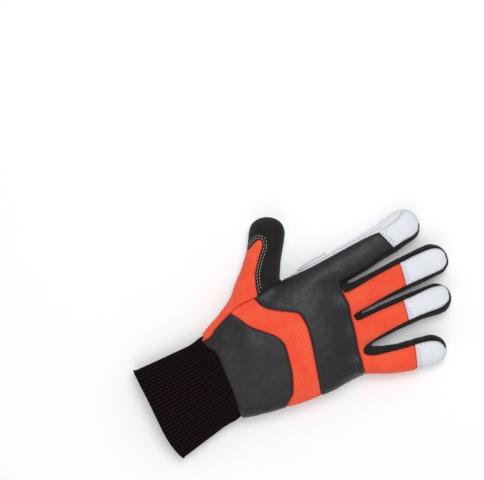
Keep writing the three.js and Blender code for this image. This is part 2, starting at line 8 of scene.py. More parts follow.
import bpy
import numpy as np
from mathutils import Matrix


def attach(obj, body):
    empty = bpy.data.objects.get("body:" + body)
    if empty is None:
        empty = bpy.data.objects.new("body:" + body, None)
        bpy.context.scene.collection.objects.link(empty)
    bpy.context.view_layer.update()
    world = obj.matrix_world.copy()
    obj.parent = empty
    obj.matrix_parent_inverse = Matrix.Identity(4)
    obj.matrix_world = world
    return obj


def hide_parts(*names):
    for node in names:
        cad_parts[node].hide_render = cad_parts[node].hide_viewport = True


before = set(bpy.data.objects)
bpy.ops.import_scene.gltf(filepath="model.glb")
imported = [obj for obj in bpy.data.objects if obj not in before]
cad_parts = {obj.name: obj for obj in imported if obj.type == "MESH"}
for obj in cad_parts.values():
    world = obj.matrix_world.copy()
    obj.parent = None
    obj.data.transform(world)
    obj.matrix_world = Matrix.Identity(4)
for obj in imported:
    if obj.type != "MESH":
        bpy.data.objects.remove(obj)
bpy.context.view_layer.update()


# Sizes, as in the part's source
PALM_LENGTH = 130
PALM_WIDTH = 108
PALM_HEIGHT = 35
FINGER_LENGTH = 114
FINGER_WIDTH = 29
FINGER_HEIGHT = 24
FINGER_TIP = 13
THUMB_LENGTH = 79.5
THUMB_WIDTH = 29
THUMB_HEIGHT = 26
THUMB_TIP = 14
THUMB_ANGLE = 60
CUFF_LENGTH = 69
CUFF_HEIGHT = 25
WALL = 2
PATCH_THICK = 1.2
PATCH_INSET = 1
SEAM_GAP = 0.35
SEAM_HEIGHT = 12.5
FLATTENED = 0.5
WIDEST = 0.48
TOP_POWER = 2.3
BOTTOM_POWER = 3.2
PATCH_LIFT = PATCH_THICK + SEAM_GAP
ROW_ORIGIN = (21.2, -78.5, 0.0)  # the wrist seam's middle, from the middle of the glove's box

# Fineness
VOXEL = 0.85
RING_SIDES = 96
ROW_STEP = 2.0
SEAM_STEP = 1.0
CURVE_STEPS = 24  # from one point of a curve to the next, before they are spaced evenly
TUBE_ROWS = 200
CUFF_SAMPLES = 1400
CUFF_RINGS = 84
# Rounds of relaxing: the whole skin, the knuckles, and the webs and the thumb's root
SKIN_ROUNDS = 6
KNUCKLE_ROUNDS = 260
WEB_ROUNDS = 40
STITCH_ROUNDS = 12

# Palm sections: thumb edge x, y, little-finger edge x, y, height, as shares of the palm's sizes
PALM_ROWS = [
    (-0.375, -0.075, 0.370, -0.065, 0.80),
    (-0.389, 0.010, 0.378, 0.015, 0.82),
    (-0.426, 0.092, 0.403, 0.092, 0.87),
    (-0.449, 0.231, 0.436, 0.246, 0.93),
    (-0.472, 0.385, 0.464, 0.400, 0.98),
    (-0.491, 0.546, 0.481, 0.554, 1.00),
    (-0.514, 0.708, 0.486, 0.677, 1.00),
    (-0.528, 0.815, 0.482, 0.754, 0.94),
    (-0.537, 0.908, 0.478, 0.823, 0.80),
    (-0.542, 0.985, 0.482, 0.892, 0.59),
]
PALM_FRONT = 0.077

# Fingers: root x, y, length, width, lean in degrees, bow, where the tip's seam crosses both sides
FINGERS = {
    "index": (-0.394, 0.862, 0.918, 1.045, -7.2, 0.060, 0.654, 0.705),
    "middle": (-0.120, 0.862, 1.006, 1.000, -0.9, 0.000, 0.645, 0.594),
    "ring": (0.134, 0.831, 0.944, 0.914, 1.6, 0.000, 0.615, 0.574),
    "little": (0.366, 0.831, 0.756, 0.914, 12.8, 0.055, 0.684, 0.654),
}
# Heights along a finger: along, height, lift off the floor
FINGER_ROWS = [
    (-0.08, 1.04, 3.2),
    (0.10, 1.14, 1.2),
    (0.24, 1.06, 0.7),
    (0.40, 1.02, 0.0),
    (0.68, 0.97, 0.0),
    (1.00, 0.92, 0.0),
]
# Outlines of the fingers: along, then the sides towards the thumb and away from it
FINGER_SIDES = {
    "index": [(-0.08, -0.78, 0.78), (0.10, -0.98, 1.00), (0.24, -0.95, 1.00), (0.40, -0.92, 1.02),
              (0.62, -0.90, 1.02), (0.78, -0.92, 1.04), (1.00, -0.93, 1.06)],
    "middle": [(-0.08, -0.78, 0.78), (0.10, -0.98, 0.98), (0.24, -0.91, 0.96), (0.50, -0.94, 0.96),
               (0.68, -0.97, 0.98), (0.85, -0.98, 1.03), (1.00, -0.97, 1.05)],
    "ring": [(-0.08, -0.78, 0.78), (0.10, -1.00, 1.04), (0.24, -0.96, 1.13), (0.36, -0.97, 1.05),
             (0.50, -1.00, 1.00), (0.70, -0.98, 1.00), (0.85, -0.95, 1.07), (1.00, -0.92, 1.14)],
    "little": [(-0.08, -0.80, 0.52), (0.10, -1.02, 0.72), (0.24, -1.03, 0.83), (0.38, -0.90, 0.97),
               (0.55, -0.86, 1.08), (0.75, -0.91, 1.09), (1.00, -0.95, 1.04)],
}

# Thumb sections: along, edge towards the wrist, edge towards the index finger, height, lift
THUMB_ROOT = (-0.417, 0.385)
THUMB_ROWS = [
    (-0.253, 1.240, -0.690, 0.98, 1.9),
    (0.000, 0.760, -0.760, 1.10, 1.5),
    (0.253, 0.530, -0.790, 1.07, 0.8),
    (0.443, 0.385, -0.785, 1.00, 0.0),
    (0.633, 0.295, -0.795, 0.97, 0.0),
    (0.835, 0.268, -0.835, 0.94, 0.0),
]

# Seams in plan, as shares of PALM_WIDTH and PALM_LENGTH
WRIST_SEAM = [(-0.9, 0.010), (-0.410, 0.008), (-0.343, -0.015), (-0.260, 0.010), (-0.185, 0.040),
              (0.000, 0.035), (0.185, 0.027), (0.380, 0.008), (0.9, 0.010)]
WRIST_PATCH_SIDE = [(-0.333, -0.090), (-0.338, 0.038), (-0.380, 0.100), (-0.417, 0.177),
                    (-0.444, 0.235)]
WRIST_PATCH_TOP = [(-0.444, 0.235), (-0.370, 0.277), (-0.278, 0.323), (-0.204, 0.385),
                   (-0.130, 0.446), (-0.074, 0.473), (-0.019, 0.481), (0.074, 0.469),
                   (0.185, 0.450), (0.278, 0.423), (0.370, 0.385), (0.426, 0.331), (0.650, 0.170)]
BAND_SIDE = [(-0.444, 0.235), (-0.472, 0.323), (-0.472, 0.423)]
KNUCKLE_LOW = [(-0.472, 0.423), (-0.389, 0.454), (-0.343, 0.492), (-0.296, 0.546),
               (-0.259, 0.600), (-0.222, 0.646), (-0.185, 0.662), (-0.093, 0.669),
               (0.000, 0.658), (0.185, 0.623), (0.370, 0.585), (0.650, 0.528)]
KNUCKLE_TOP = [(-0.256, 1.030), (-0.222, 0.988), (-0.093, 0.985), (0.046, 0.962),
               (0.231, 0.927), (0.472, 0.888), (0.650, 0.858)]
THUMB_TOP = [(-0.472, 0.423), (-0.490, 0.540), (-0.505, 0.646)]
WRAP_ON_PALM = [(-0.505, 0.646), (-0.505, 0.769), (-0.509, 0.885)]
CROTCH = [(-0.505, 0.646), (-0.760, 0.840)]
THUMB_PALM_SEAM = [(-0.505, 0.646), (-0.426, 0.631), (-0.370, 0.585), (-0.338, 0.508),
                   (-0.315, 0.408), (-0.301, 0.300), (-0.292, 0.185), (-0.282, 0.077),
                   (-0.278, -0.090)]
OUTER_PALM_SEAM = [(0.343, -0.090), (0.356, 0.015), (0.375, 0.092), (0.407, 0.246),
                   (0.435, 0.400), (0.454, 0.554), (0.458, 0.692)]
OUTER_EDGE = 0.78
PATCH_TOP = [(-0.760, 1.030), (-0.528, 1.008), (-0.370, 0.992), (-0.185, 0.973),
             (0.000, 0.958), (0.185, 0.938), (0.324, 0.915), (0.560, 0.875)]
# The cross seams that quilt the palm patch
PATCH_ROWS = [
    [(-0.470, 0.848), (0.463, 0.733)],
    [(-0.440, 0.687), (0.455, 0.517)],
    [(-0.310, 0.440), (0.440, 0.293)],
    [(-0.290, 0.216), (0.405, 0.062)],
]

# Seams on the index finger and the thumb: along, and across as a share of half the width
WRAP_ON_INDEX = [(0.234, -0.70), (0.426, -0.61), (0.569, -0.52), (0.654, -0.40)]
WRAP_ON_TIP = [(0.654, -0.40), (0.761, -0.47), (0.870, -0.56), (0.960, -0.90), (1.060, -1.40)]
THUMB_SEAM = [(0.127, -0.31), (0.237, -0.17), (0.372, -0.06), (0.529, -0.17), (0.665, -0.34),
              (0.732, -0.28), (0.743, -0.05), (0.689, 0.26), (0.635, 0.48), (0.560, 1.10)]

# The side strips between the fingers. Each has the point of its V on the back and on the palm, and
# its edges along the finger before it and the finger after it.
STRIPS = {
    "strip_index_middle": {
        "fingers": ("index", "middle"), "back_v": (-0.241, 1.000), "palm_v": (-0.269, 1.008),
        "before": [(0.154, 1.04), (0.298, 1.05), (0.592, 0.88), (0.786, 0.84), (0.882, 0.88),
                   (0.951, 0.76), (0.987, 0.43), (1.070, 0.25)],
        "after": [(0.159, -0.60), (0.246, -0.59), (0.422, -0.69), (0.641, -0.75), (0.817, -0.76),
                  (0.913, -0.66), (0.965, -0.42), (0.985, -0.10), (0.988, 0.25), (1.070, 0.40)]},
    "strip_middle_ring": {
        "fingers": ("middle", "ring"), "back_v": (0.019, 0.992), "palm_v": (0.000, 0.996),
        "before": [(0.156, 0.91), (0.287, 0.84), (0.463, 0.74), (0.639, 0.71), (0.770, 0.76),
                   (0.901, 0.78), (0.952, 0.62), (0.978, 0.36), (0.986, 0.08), (1.070, -0.05)],
        "after": [(0.213, -0.76), (0.392, -0.78), (0.580, -0.77), (0.767, -0.80), (0.861, -0.80),
                  (0.942, -0.68), (0.972, -0.42), (0.985, -0.10), (0.986, 0.15), (1.070, 0.30)]},
    "strip_ring_little": {
        "fingers": ("ring", "little"), "back_v": (0.306, 0.946), "palm_v": (0.287, 0.965),
        "before": [(0.163, 1.14), (0.257, 0.93), (0.397, 0.78), (0.585, 0.66), (0.725, 0.66),
                   (0.867, 0.70), (0.945, 0.52), (0.974, 0.24), (0.984, -0.02), (1.070, -0.15)],
        "after": [(0.170, -0.60), (0.249, -0.43), (0.368, -0.43), (0.547, -0.46), (0.700, -0.53),
                  (0.819, -0.55), (0.920, -0.39), (0.970, -0.05), (0.988, 0.20), (1.070, 0.30)]},
}
STRIP_PALM_EDGE = [(0.26, 0.69), (0.70, 0.70), (0.82, 0.75), (0.90, 0.84), (0.95, 0.96),
                   (1.07, 1.25)]
WEB_NOTCH = 2.9
CROTCH_CLEAR = 16.0  # the palm patch climbs beside the index finger from here past the crotch

FLOOR_REACH = 3000
# Reach of an outline past the glove
WEST, EAST, SOUTH, NORTH = -190.0, 120.0, -130.0, 260.0


# Lines and places in plan

def on_palm(rows):
    return np.array(rows, float) * (PALM_WIDTH, PALM_LENGTH)


def reach_along(line):
    """How far along a line each of its points lies."""
    return np.concatenate([[0], np.cumsum(np.linalg.norm(np.diff(line, axis=0), axis=1))])


def unit(rows):
    """The same directions, one long."""
    return rows / np.maximum(np.linalg.norm(rows, axis=-1, keepdims=True), 1e-9)


def read_at(at, known, rows):
    """Rows that belong to known places, read between them at other places."""
    return np.stack([np.interp(at, known, column) for column in np.transpose(rows)], axis=-1)


def smooth_rows(rows, count):
    """Rows of numbers with a smooth line through each column."""
    rows = np.array(rows, float)
    padded = np.vstack([rows[:1], rows, rows[-1:]])
    at = np.linspace(0, len(rows) - 1, count)
    first = np.minimum(at.astype(int), len(rows) - 2)
    t = (at - first)[:, None]
    before, start, end, after = (padded[first + k] for k in range(4))
    v0, v1 = (end - before) / 2, (after - start) / 2
    return ((2 * start - 2 * end + v0 + v1) * t**3
            + (-3 * start + 3 * end - 2 * v0 - v1) * t**2 + v0 * t + start)


def spline(points):
    """A smooth line through its points, as short straight stretches of one length."""
    line = smooth_rows(points, CURVE_STEPS * (len(points) - 1) + 1)
    reach = reach_along(line)
    count = max(2, round(reach[-1] / SEAM_STEP) + 1)
    return read_at(np.linspace(0, reach[-1], count), reach, line)


def limb_frame(x, y, lean):
    """Root, forward and right of a limb in plan."""
    angle = math.radians(lean)
    forward = np.array([math.sin(angle), math.cos(angle)])
    right = np.array([forward[1], -forward[0]])
    return np.array([x * PALM_WIDTH, y * PALM_LENGTH]), forward, right


def in_frame(limb, along, across):
    root, forward, right = limb
    return root + np.multiply.outer(along, forward) + np.multiply.outer(across, right)


def finger_sizes(name):
    x, y, length, width, lean, bow, _, _ = FINGERS[name]
    return (limb_frame(x, y, lean), length * FINGER_LENGTH, width * FINGER_WIDTH / 2,
            bow * FINGER_WIDTH)


def on_finger(name, rows):
    limb, length, half, _ = finger_sizes(name)
    along, across = np.array(rows, float).T
    return in_frame(limb, along * length, across * half)


thumb_frame = limb_frame(*THUMB_ROOT, -THUMB_ANGLE)


def on_thumb(rows):
    along, outer = np.array(rows, float).T
    return in_frame(thumb_frame, along * THUMB_LENGTH, -outer * THUMB_WIDTH / 2)


# The filled hand as one smooth skin

def section_ring(left, right, low, high, shrink=1.0, flat=1.0, sides=RING_SIDES):
    """Points round one section, from its left edge to its right edge in plan."""
    across = unit(right - left)
    half = np.linalg.norm(right - left) / 2
    centre = (left + right) / 2
    angle = np.linspace(0, 2 * math.pi, sides, endpoint=False)
    c, s = np.cos(angle), np.sin(angle)
    power = 2 / np.where(s >= 0, TOP_POWER, BOTTOM_POWER)
    sideways = half * np.sign(c) * np.abs(c)**power * shrink
    upward = np.where(s >= 0, 1 - WIDEST, WIDEST) * high * np.sign(s) * np.abs(s)**power
    level = low + WIDEST * high
    return np.column_stack([centre + np.outer(sideways, across), level + upward * shrink * flat])


def rounded_end(left, right, low, high, forward, length, side=0.0):
    """The rings of a rounded end after a last section. With side, it keeps its width but for that."""
    across = unit(right - left)
    rings = []
    for angle in np.linspace(0, math.pi / 2, 12)[1:]:
        shift = forward * length * math.sin(angle)
        narrowing = across * side * (1 - math.cos(angle))
        shrink = 1.0 if side else max(math.cos(angle), 0.01)
        flat = max(math.cos(angle), 0.01) if side else 1.0
        rings.append(section_ring(left + shift + narrowing, right + shift - narrowing, low, high,
                                  shrink, flat))
    return rings


def palm_rings():
    rows = smooth_rows(PALM_ROWS, round(PALM_LENGTH / ROW_STEP))
    lefts, rights = (rows[:, k:k + 2] * (PALM_WIDTH, PALM_LENGTH) for k in (0, 2))
    highs = rows[:, 4] * PALM_HEIGHT
    rings = [section_ring(left, right, PATCH_LIFT, high)
             for left, right, high in zip(lefts, rights, highs)]
    across = unit(rights[-1] - lefts[-1])
    front = PALM_FRONT * PALM_LENGTH
    return rings + rounded_end(lefts[-1], rights[-1], PATCH_LIFT, highs[-1],
                               np.array([-across[1], across[0]]), front, front)


def limb_rings(sections, height, forward, tip):
    """The rings of a finger or the thumb, whose sections have edges, a height and a lift."""
    rings = []
    for left, right, high, lift in sections:
        section = (left, right, lift * PATCH_LIFT - FLATTENED, high * height + FLATTENED)
        rings.append(section_ring(*section))
    return rings + rounded_end(*section, forward, tip)


def finger_rings(name):
    limb, length, half, bow = finger_sizes(name)
    heights, sides = (smooth_rows(rows, TUBE_ROWS) for rows in (FINGER_ROWS, FINGER_SIDES[name]))
    sections = []
    for along in np.linspace(FINGER_ROWS[0][0], 1 - FINGER_TIP / length,
                             round(length / ROW_STEP)):
        bowed = bow * math.sin(math.pi * along)
        left, right = (in_frame(limb, along * length, bowed + half * edge)
                       for edge in read_at(along, sides[:, 0], sides[:, 1:]))
        sections.append((left, right, *read_at(along, heights[:, 0], heights[:, 1:])))
    return limb_rings(sections, FINGER_HEIGHT, limb[1], FINGER_TIP)


def thumb_rings():
    rows = smooth_rows(THUMB_ROWS, round(THUMB_LENGTH / ROW_STEP))
    along = rows[:, 0] * THUMB_LENGTH
    left, right = (in_frame(thumb_frame, along, 0) - np.outer(edge * THUMB_WIDTH, thumb_frame[2])
                   for edge in (rows[:, 1], rows[:, 2]))
    return limb_rings(zip(left, right, rows[:, 3], rows[:, 4]), THUMB_HEIGHT, thumb_frame[1],
                      THUMB_TIP)


def loft(rings):
    """Points and faces of a closed tube through its rings."""
    sides = len(rings[0])
    points = np.vstack([*rings, rings[0].mean(axis=0), rings[-1].mean(axis=0)])
    last = (len(rings) - 1) * sides
    faces = []
    for i in range(sides):
        j = (i + 1) % sides
        faces += [(len(points) - 2, i, j), (len(points) - 1, last + j, last + i)]
        faces += [(row + i, row + sides + i, row + sides + j, row + j)
                  for row in range(0, last, sides)]
    return points, faces


def placed(name, data, location=(0, 0, 0)):
    made = bpy.data.objects.new(name, data)
    bpy.context.scene.collection.objects.link(made)
    made.location = location
    return made


def together(parts):
    """Several meshes as one: its points, and its faces as lists."""
    starts = np.cumsum([0, *(len(points) for points, _ in parts)]).tolist()
    faces = [[start + i for i in face] for start, (_, part) in zip(starts, parts) for face in part]
    return np.vstack([points for points, _ in parts]), faces


def read(items, attribute, width, kind=float):
    """One attribute of each item of a mesh, as rows of a width."""
    values = np.empty(len(items) * width, kind)
    items.foreach_get(attribute, values)
    return values.reshape(-1, width)


def joined(parts):
    """One smooth closed skin round overlapping closed parts, as points and triangles."""
    points, faces = together(parts)
    mesh = bpy.data.meshes.new("form")
    mesh.from_pydata(points.tolist(), [], faces)
    form = placed("form", mesh)
    remesh = form.modifiers.new("remesh", "REMESH")
    remesh.mode = "VOXEL"
    remesh.voxel_size = VOXEL
    evaluated = form.evaluated_get(bpy.context.evaluated_depsgraph_get())
    skin = evaluated.to_mesh()
    skin.calc_loop_triangles()
    points = read(skin.vertices, "co", 3)
    triangles = read(skin.loop_triangles, "vertices", 3, np.int32)
    evaluated.to_mesh_clear()
    bpy.data.meshes.remove(mesh)
    return points, triangles


def sides_of(triangles):
    return np.vstack([triangles[:, [0, 1]], triangles[:, [1, 2]], triangles[:, [2, 0]]])


def edges_of(triangles):
    return np.unique(np.sort(sides_of(triangles), axis=1), axis=0, return_counts=True)


def gathered(owners, rows, count):
    """For each of count points, the sum of the rows that it owns."""
    return np.stack([np.bincount(owners, column, count) for column in rows.T], axis=1)


def relaxed(points, edges, rounds, where=1.0):
    """Points moved towards the middle of their neighbours, so that creases open into soft curves."""
    count = np.bincount(edges.ravel(), minlength=len(points))[:, None]
    share = 0.5 * np.broadcast_to(where, len(points))[:, None]
    for _ in range(rounds):
        middle = sum(gathered(edges[:, k], points[edges[:, 1 - k]], len(points))
                     for k in (0, 1)) / count
        points = points + (middle - points) * share
    return points


def facing(points, triangles):
    """The directions that triangles face, each as long as twice its triangle's area."""
    a, b, c = (points[triangles[:, k]] for k in range(3))
    return np.cross(b - a, c - a)


def normals_of(points, triangles):
    way = facing(points, triangles)
    return unit(sum(gathered(triangles[:, k], way, len(points)) for k in range(3)))


def smooth_step(value, low, high):
    t = np.clip((value - low) / (high - low), 0, 1)
    return t * t * (3 - 2 * t)


def stretch(value, rise, full, fall, end):
    """One from full to fall, and less on both sides, down to nothing at rise and at end."""
    return smooth_step(value, rise, full) * (1 - smooth_step(value, fall, end))


RIPPLE_WAVES = 28
chance = np.random.default_rng(11)


def ripples(points, wavelength):
    """Soft uneven waves over the surface, about one high and one low in size."""
    total = np.zeros(len(points))
    for _ in range(RIPPLE_WAVES):
        way = chance.normal(size=3)
        way *= 2 * math.pi / wavelength * chance.uniform(0.6, 1.4) / np.linalg.norm(way)
        total += np.sin(points @ way + chance.uniform(0, 2 * math.pi))
    return total / math.sqrt(RIPPLE_WAVES / 2)


def plan_distance(line, points):
    """Distance in plan from a line, and the share of its length where it is nearest."""
    x, y = np.ascontiguousarray(points[:, :2].T)
    nearest = np.full(len(points), np.inf)
    share = np.zeros(len(points))
    for i, ((ax, ay), (bx, by)) in enumerate(zip(line[:-1], line[1:])):
        dx, dy, px, py = bx - ax, by - ay, x - ax, y - ay
        t = np.clip((px * dx + py * dy) / max(dx * dx + dy * dy, 1e-9), 0, 1)
        square = (px - t * dx)**2 + (py - t * dy)**2
        nearer = square < nearest
        nearest[nearer] = square[nearer]
        share[nearer] = (i + t[nearer]) / (len(line) - 1)
    return np.sqrt(nearest), share


def joint_creases():
    bent = [on_finger(name, [(along, -1), (along + 0.01, 0), (along, 1)])
            for name in FINGERS for along in (0.36, 0.66)]
    bent_thumb = [on_thumb([(along, -1.6), (along + 0.02, -0.5), (along, 0.8)])
                  for along in (0.42, 0.66)]
    return [("palm", line, 0.55, 1.6) for line in bent] + [("palm", line, 0.5, 1.6)
                                                           for line in bent_thumb]


# Creases: side of the hand, line in plan, depth and width
CREASES = [
    ("back", [(-36, 66), (-44, 60), (-53, 48)], 0.7, 2.2),
    ("back", [(-30, 84), (-42, 76), (-52, 66)], 0.5, 2.6),
    ("back", [(15, 6), (17, 24), (14, 44), (8, 58)], 0.5, 4.0),
    ("back", [(-22, 10), (-14, 26), (-10, 40)], 0.35, 4.0),
    ("back", [(36, 72), (30, 86), (32, 100)], 0.35, 4.0),
    ("back", [(-30, 92), (-34, 112), (-36, 132)], 0.4, 4.5),
]
GATHER_PITCH = 7.5
GATHER_DEPTH = 0.30


def above_floor(z, soft):
    """Heights pressed flat where they would pass the floor."""
    return (z + np.sqrt(z * z + soft)) / 2


# Zones that are relaxed more: where each starts, is full, stops being full and ends
KNUCKLES_ALONG = (84, 98, 124, 134)
WEBS_ALONG = (118, 126, 134, 150)
THUMB_ROOT_OUT = (34, 46, 62, 76)
THUMB_ROOT_ALONG = (0, 14, 88, 100)


def hand_skin():
    tubes = [palm_rings(), *(finger_rings(name) for name in FINGERS), thumb_rings()]
    points, triangles = joined([loft(rings) for rings in tubes])
    edges, _ = edges_of(triangles)
    points = relaxed(points, edges, SKIN_ROUNDS)
    x, y, z = points.T
    knuckles = stretch(y, *KNUCKLES_ALONG) * smooth_step(x, -66, -52) * smooth_step(z, 12, 18)
    webs = stretch(y, *WEBS_ALONG) * (x > -60)
    thumb_root = stretch(-x, *THUMB_ROOT_OUT) * stretch(y, *THUMB_ROOT_ALONG)
    points = relaxed(points, edges, KNUCKLE_ROUNDS, where=knuckles)
    points = relaxed(points, edges, WEB_ROUNDS, where=np.maximum(webs, thumb_root))
    normals = normals_of(points, triangles)
    above = smooth_step(points[:, 2], 9, 14)
    push = 0.24 * ripples(points, 30) + 0.05 * ripples(points, 8)
    from_wrist, _ = plan_distance(wrist_seam, points)
    gathers = np.sin(points[:, 0] * 2 * math.pi / GATHER_PITCH + 1.3 * np.sin(points[:, 0] / 9))
    push += GATHER_DEPTH * gathers * np.exp(-(from_wrist / 8)**2) * np.exp(-((from_wrist - 4) / 5)**2)
    for side, line, depth, width in CREASES + joint_creases():
        away, share = plan_distance(np.array(line, float), points)
        ends = np.sin(math.pi * share)**0.5
        where = above if side == "back" else 1 - above
        push -= depth * ends * where * np.exp(-(away / width)**2)
        push += 0.4 * depth * ends * where * np.exp(-((away - 2.2 * width) / width)**2)
    points = points + normals * push[:, None]
    points[:, 2] = above_floor(points[:, 2], 0.1)
    return points, triangles


# Fields: signed distances in plan, positive inside an outline

def inside_distance(outline, points):
    away, _ = plan_distance(np.vstack([outline, outline[:1]]), points)
    x, y = points[:, 0], points[:, 1]
    inside = np.zeros(len(points), bool)
    for (ax, ay), (bx, by) in zip(outline, np.roll(outline, -1, axis=0)):
        if ay != by:
            inside ^= ((y < ay) != (y < by)) & (x < ax + (y - ay) * (bx - ax) / (by - ay))
    return np.where(inside, away, -away)


def outline_of(*lines):
    points = np.vstack([np.atleast_2d(line) for line in lines])
    apart = np.linalg.norm(points - np.roll(points, -1, axis=0), axis=1) > 0.01
    return points[apart]


(wrist_seam, wrist_patch_side, wrist_patch_top, band_side, knuckle_low, knuckle_top, thumb_top,
 thumb_palm_seam, patch_top) = (spline(on_palm(rows)) for rows in (
     WRIST_SEAM, WRIST_PATCH_SIDE, WRIST_PATCH_TOP, BAND_SIDE, KNUCKLE_LOW, KNUCKLE_TOP, THUMB_TOP,
     THUMB_PALM_SEAM, PATCH_TOP))
crotch = on_palm(CROTCH)
wrap = spline(np.vstack([on_palm(WRAP_ON_PALM), on_finger("index", WRAP_ON_INDEX)]))
wrap_tip = spline(on_finger("index", WRAP_ON_TIP))
thumb_seam = spline(np.vstack([thumb_top[:1], on_thumb(THUMB_SEAM)]))
outer_seam = spline(np.vstack([on_palm(OUTER_PALM_SEAM), on_finger(
    "little", [(s, OUTER_EDGE) for s in (0, 0.3, 0.6, 0.8, 1.2)])]))
patch_rows = [spline(on_palm(row)) for row in PATCH_ROWS]


def tip_seam(name):
    *_, seam0, seam1 = FINGERS[name]
    return on_finger(name, [(seam0, -1.25), (seam1, 1.25)])


def far_tip(name):
    return on_finger(name, [(1.2, 1.25), (1.2, -1.25)])


wrap_outline = outline_of(crotch[::-1], wrap, wrap_tip, (WEST, NORTH), (WEST, crotch[1][1]))
BACK_OUTLINES = {
    "wrist_patch": outline_of(wrist_patch_side, wrist_patch_top, (EAST, SOUTH)),
    "back_band": outline_of(wrist_patch_top, knuckle_low[::-1], band_side[::-1]),
    "knuckle_patch": outline_of(knuckle_low, knuckle_top[::-1], tip_seam("index")[1],
                                wrap[::-1], thumb_top[::-1]),
    "finger_backs": outline_of(knuckle_top, tip_seam("little")[::-1], tip_seam("ring")[::-1],
                               tip_seam("middle")[::-1]),
    "thumb_back": outline_of(thumb_top, crotch, (WEST, crotch[1][1]),
                             (WEST, thumb_seam[-1][1]), thumb_seam[::-1]),
    "thumb_side": outline_of(thumb_seam, (WEST, thumb_seam[-1][1]), (WEST, SOUTH),
                             (wrist_patch_side[0][0], SOUTH), wrist_patch_side, band_side),
    "tip_index": outline_of(wrap_tip[::-1], tip_seam("index")[1], far_tip("index")),
    **{"tip_" + name: outline_of(tip_seam(name), far_tip(name))
       for name in ("middle", "ring", "little")},
}


def within(points, *lines):
    return inside_distance(outline_of(*lines), points)


def strip_outlines(strip):
    """The plan outlines of a side strip, seen from the back and from the palm."""
    before, after = strip["fingers"]
    point = on_palm([strip["back_v"]])
    one, other = (spline(np.vstack([point, on_finger(finger, strip[side])]))
                  for finger, side in ((before, "before"), (after, "after")))
    web = on_palm([strip["palm_v"]])
    mirrored = [(along, -across) for along, across in STRIP_PALM_EDGE]
    palm = outline_of(web - (WEB_NOTCH, 0), spline(on_finger(before, STRIP_PALM_EDGE)),
                      spline(on_finger(after, mirrored))[::-1], web + (WEB_NOTCH, 0))
    return outline_of(one, other[::-1]), palm


def least(*fields):
    return np.minimum.reduce(fields)


def merged(first, second, reach):
    """Where either of two fields is positive, with a rounded inner corner."""
    near_both = np.maximum(reach - np.abs(first - second), 0)
    return np.maximum(first, second) + near_both**2 / (4 * reach)


def seam_level(points):
    """The height at which the back meets the palm side: higher round the fingertips, lower
    beside the wrist on the thumb side."""
    level = np.full(len(points), float(SEAM_HEIGHT))
    for name in FINGERS:
        (root, forward, right), length, half, _ = finger_sizes(name)
        away = points[:, :2] - root
        along, across = away @ forward / length, away @ right / half
        level += 2.5 * smooth_step(along, 0.80, 0.95) * (np.abs(across) < 1.3) * (along < 1.1)
    x, y = points[:, 0], points[:, 1]
    level -= 4 * smooth_step(-x, 22, 34) * (1 - smooth_step(y, 24, 60))
    return level


def fields_of(points):
    """For each piece of the skin, a number at each point that is positive on the piece and
    zero on its seams."""
    level = points[:, 2] - seam_level(points)
    beyond_wrist = within(points, wrist_seam, (EAST, NORTH), (WEST, NORTH))
    outside = within(points, outer_seam, (EAST, NORTH), (EAST, SOUTH))
    wrapped = inside_distance(wrap_outline, points)
    back = np.minimum(np.maximum(level, outside), -wrapped)
    fields = {}
    strips = np.full(len(points), -np.inf)
    for name, strip in STRIPS.items():
        from_back, from_palm = (inside_distance(o, points) for o in strip_outlines(strip))
        field = merged(np.minimum(from_back, level + 1), np.minimum(from_palm, 1 - level), 3.0)
        fields[name] = np.minimum(field, -strips)
        strips = np.maximum(strips, fields[name])
    kept = np.minimum(beyond_wrist, -strips)
    for name, outline in BACK_OUTLINES.items():
        fields[name] = least(inside_distance(outline, points), back, kept)
    thumb = within(points, crotch[::-1], thumb_palm_seam, (WEST, SOUTH), (WEST, crotch[1][1]))
    fields["thumb_palm"] = least(thumb, -back, kept)
    fields["palm_leather"] = least(-thumb, -back, kept)
    under = within(points, outer_seam[::-1], thumb_palm_seam[::-1], crotch,
                   (crotch[1][0], NORTH), (outer_seam[-1][0], NORTH))
    behind = within(points, patch_top, (EAST, patch_top[-1][1]), (EAST, SOUTH), (WEST, SOUTH),
                    (WEST, patch_top[0][1]))
    from_crotch = np.linalg.norm(points[:, :2] - crotch[0], axis=1)
    low = least(under, SEAM_HEIGHT - 4 - points[:, 2], from_crotch - 4)
    high = np.minimum(wrapped, from_crotch - CROTCH_CLEAR)
    zone = merged(low, high, 6.0) - PATCH_INSET
    fields["palm_patch"] = least(zone, behind - PATCH_INSET, beyond_wrist)
    return fields


# Pieces cut from the skin

ON_CUT = 0.08  # a point this near a cut lies on it
PANEL_GAP = 0.05  # left beside each seam, where the edges roll down
RIM_REACH = 12.0  # how far from a rim its distance is worked out


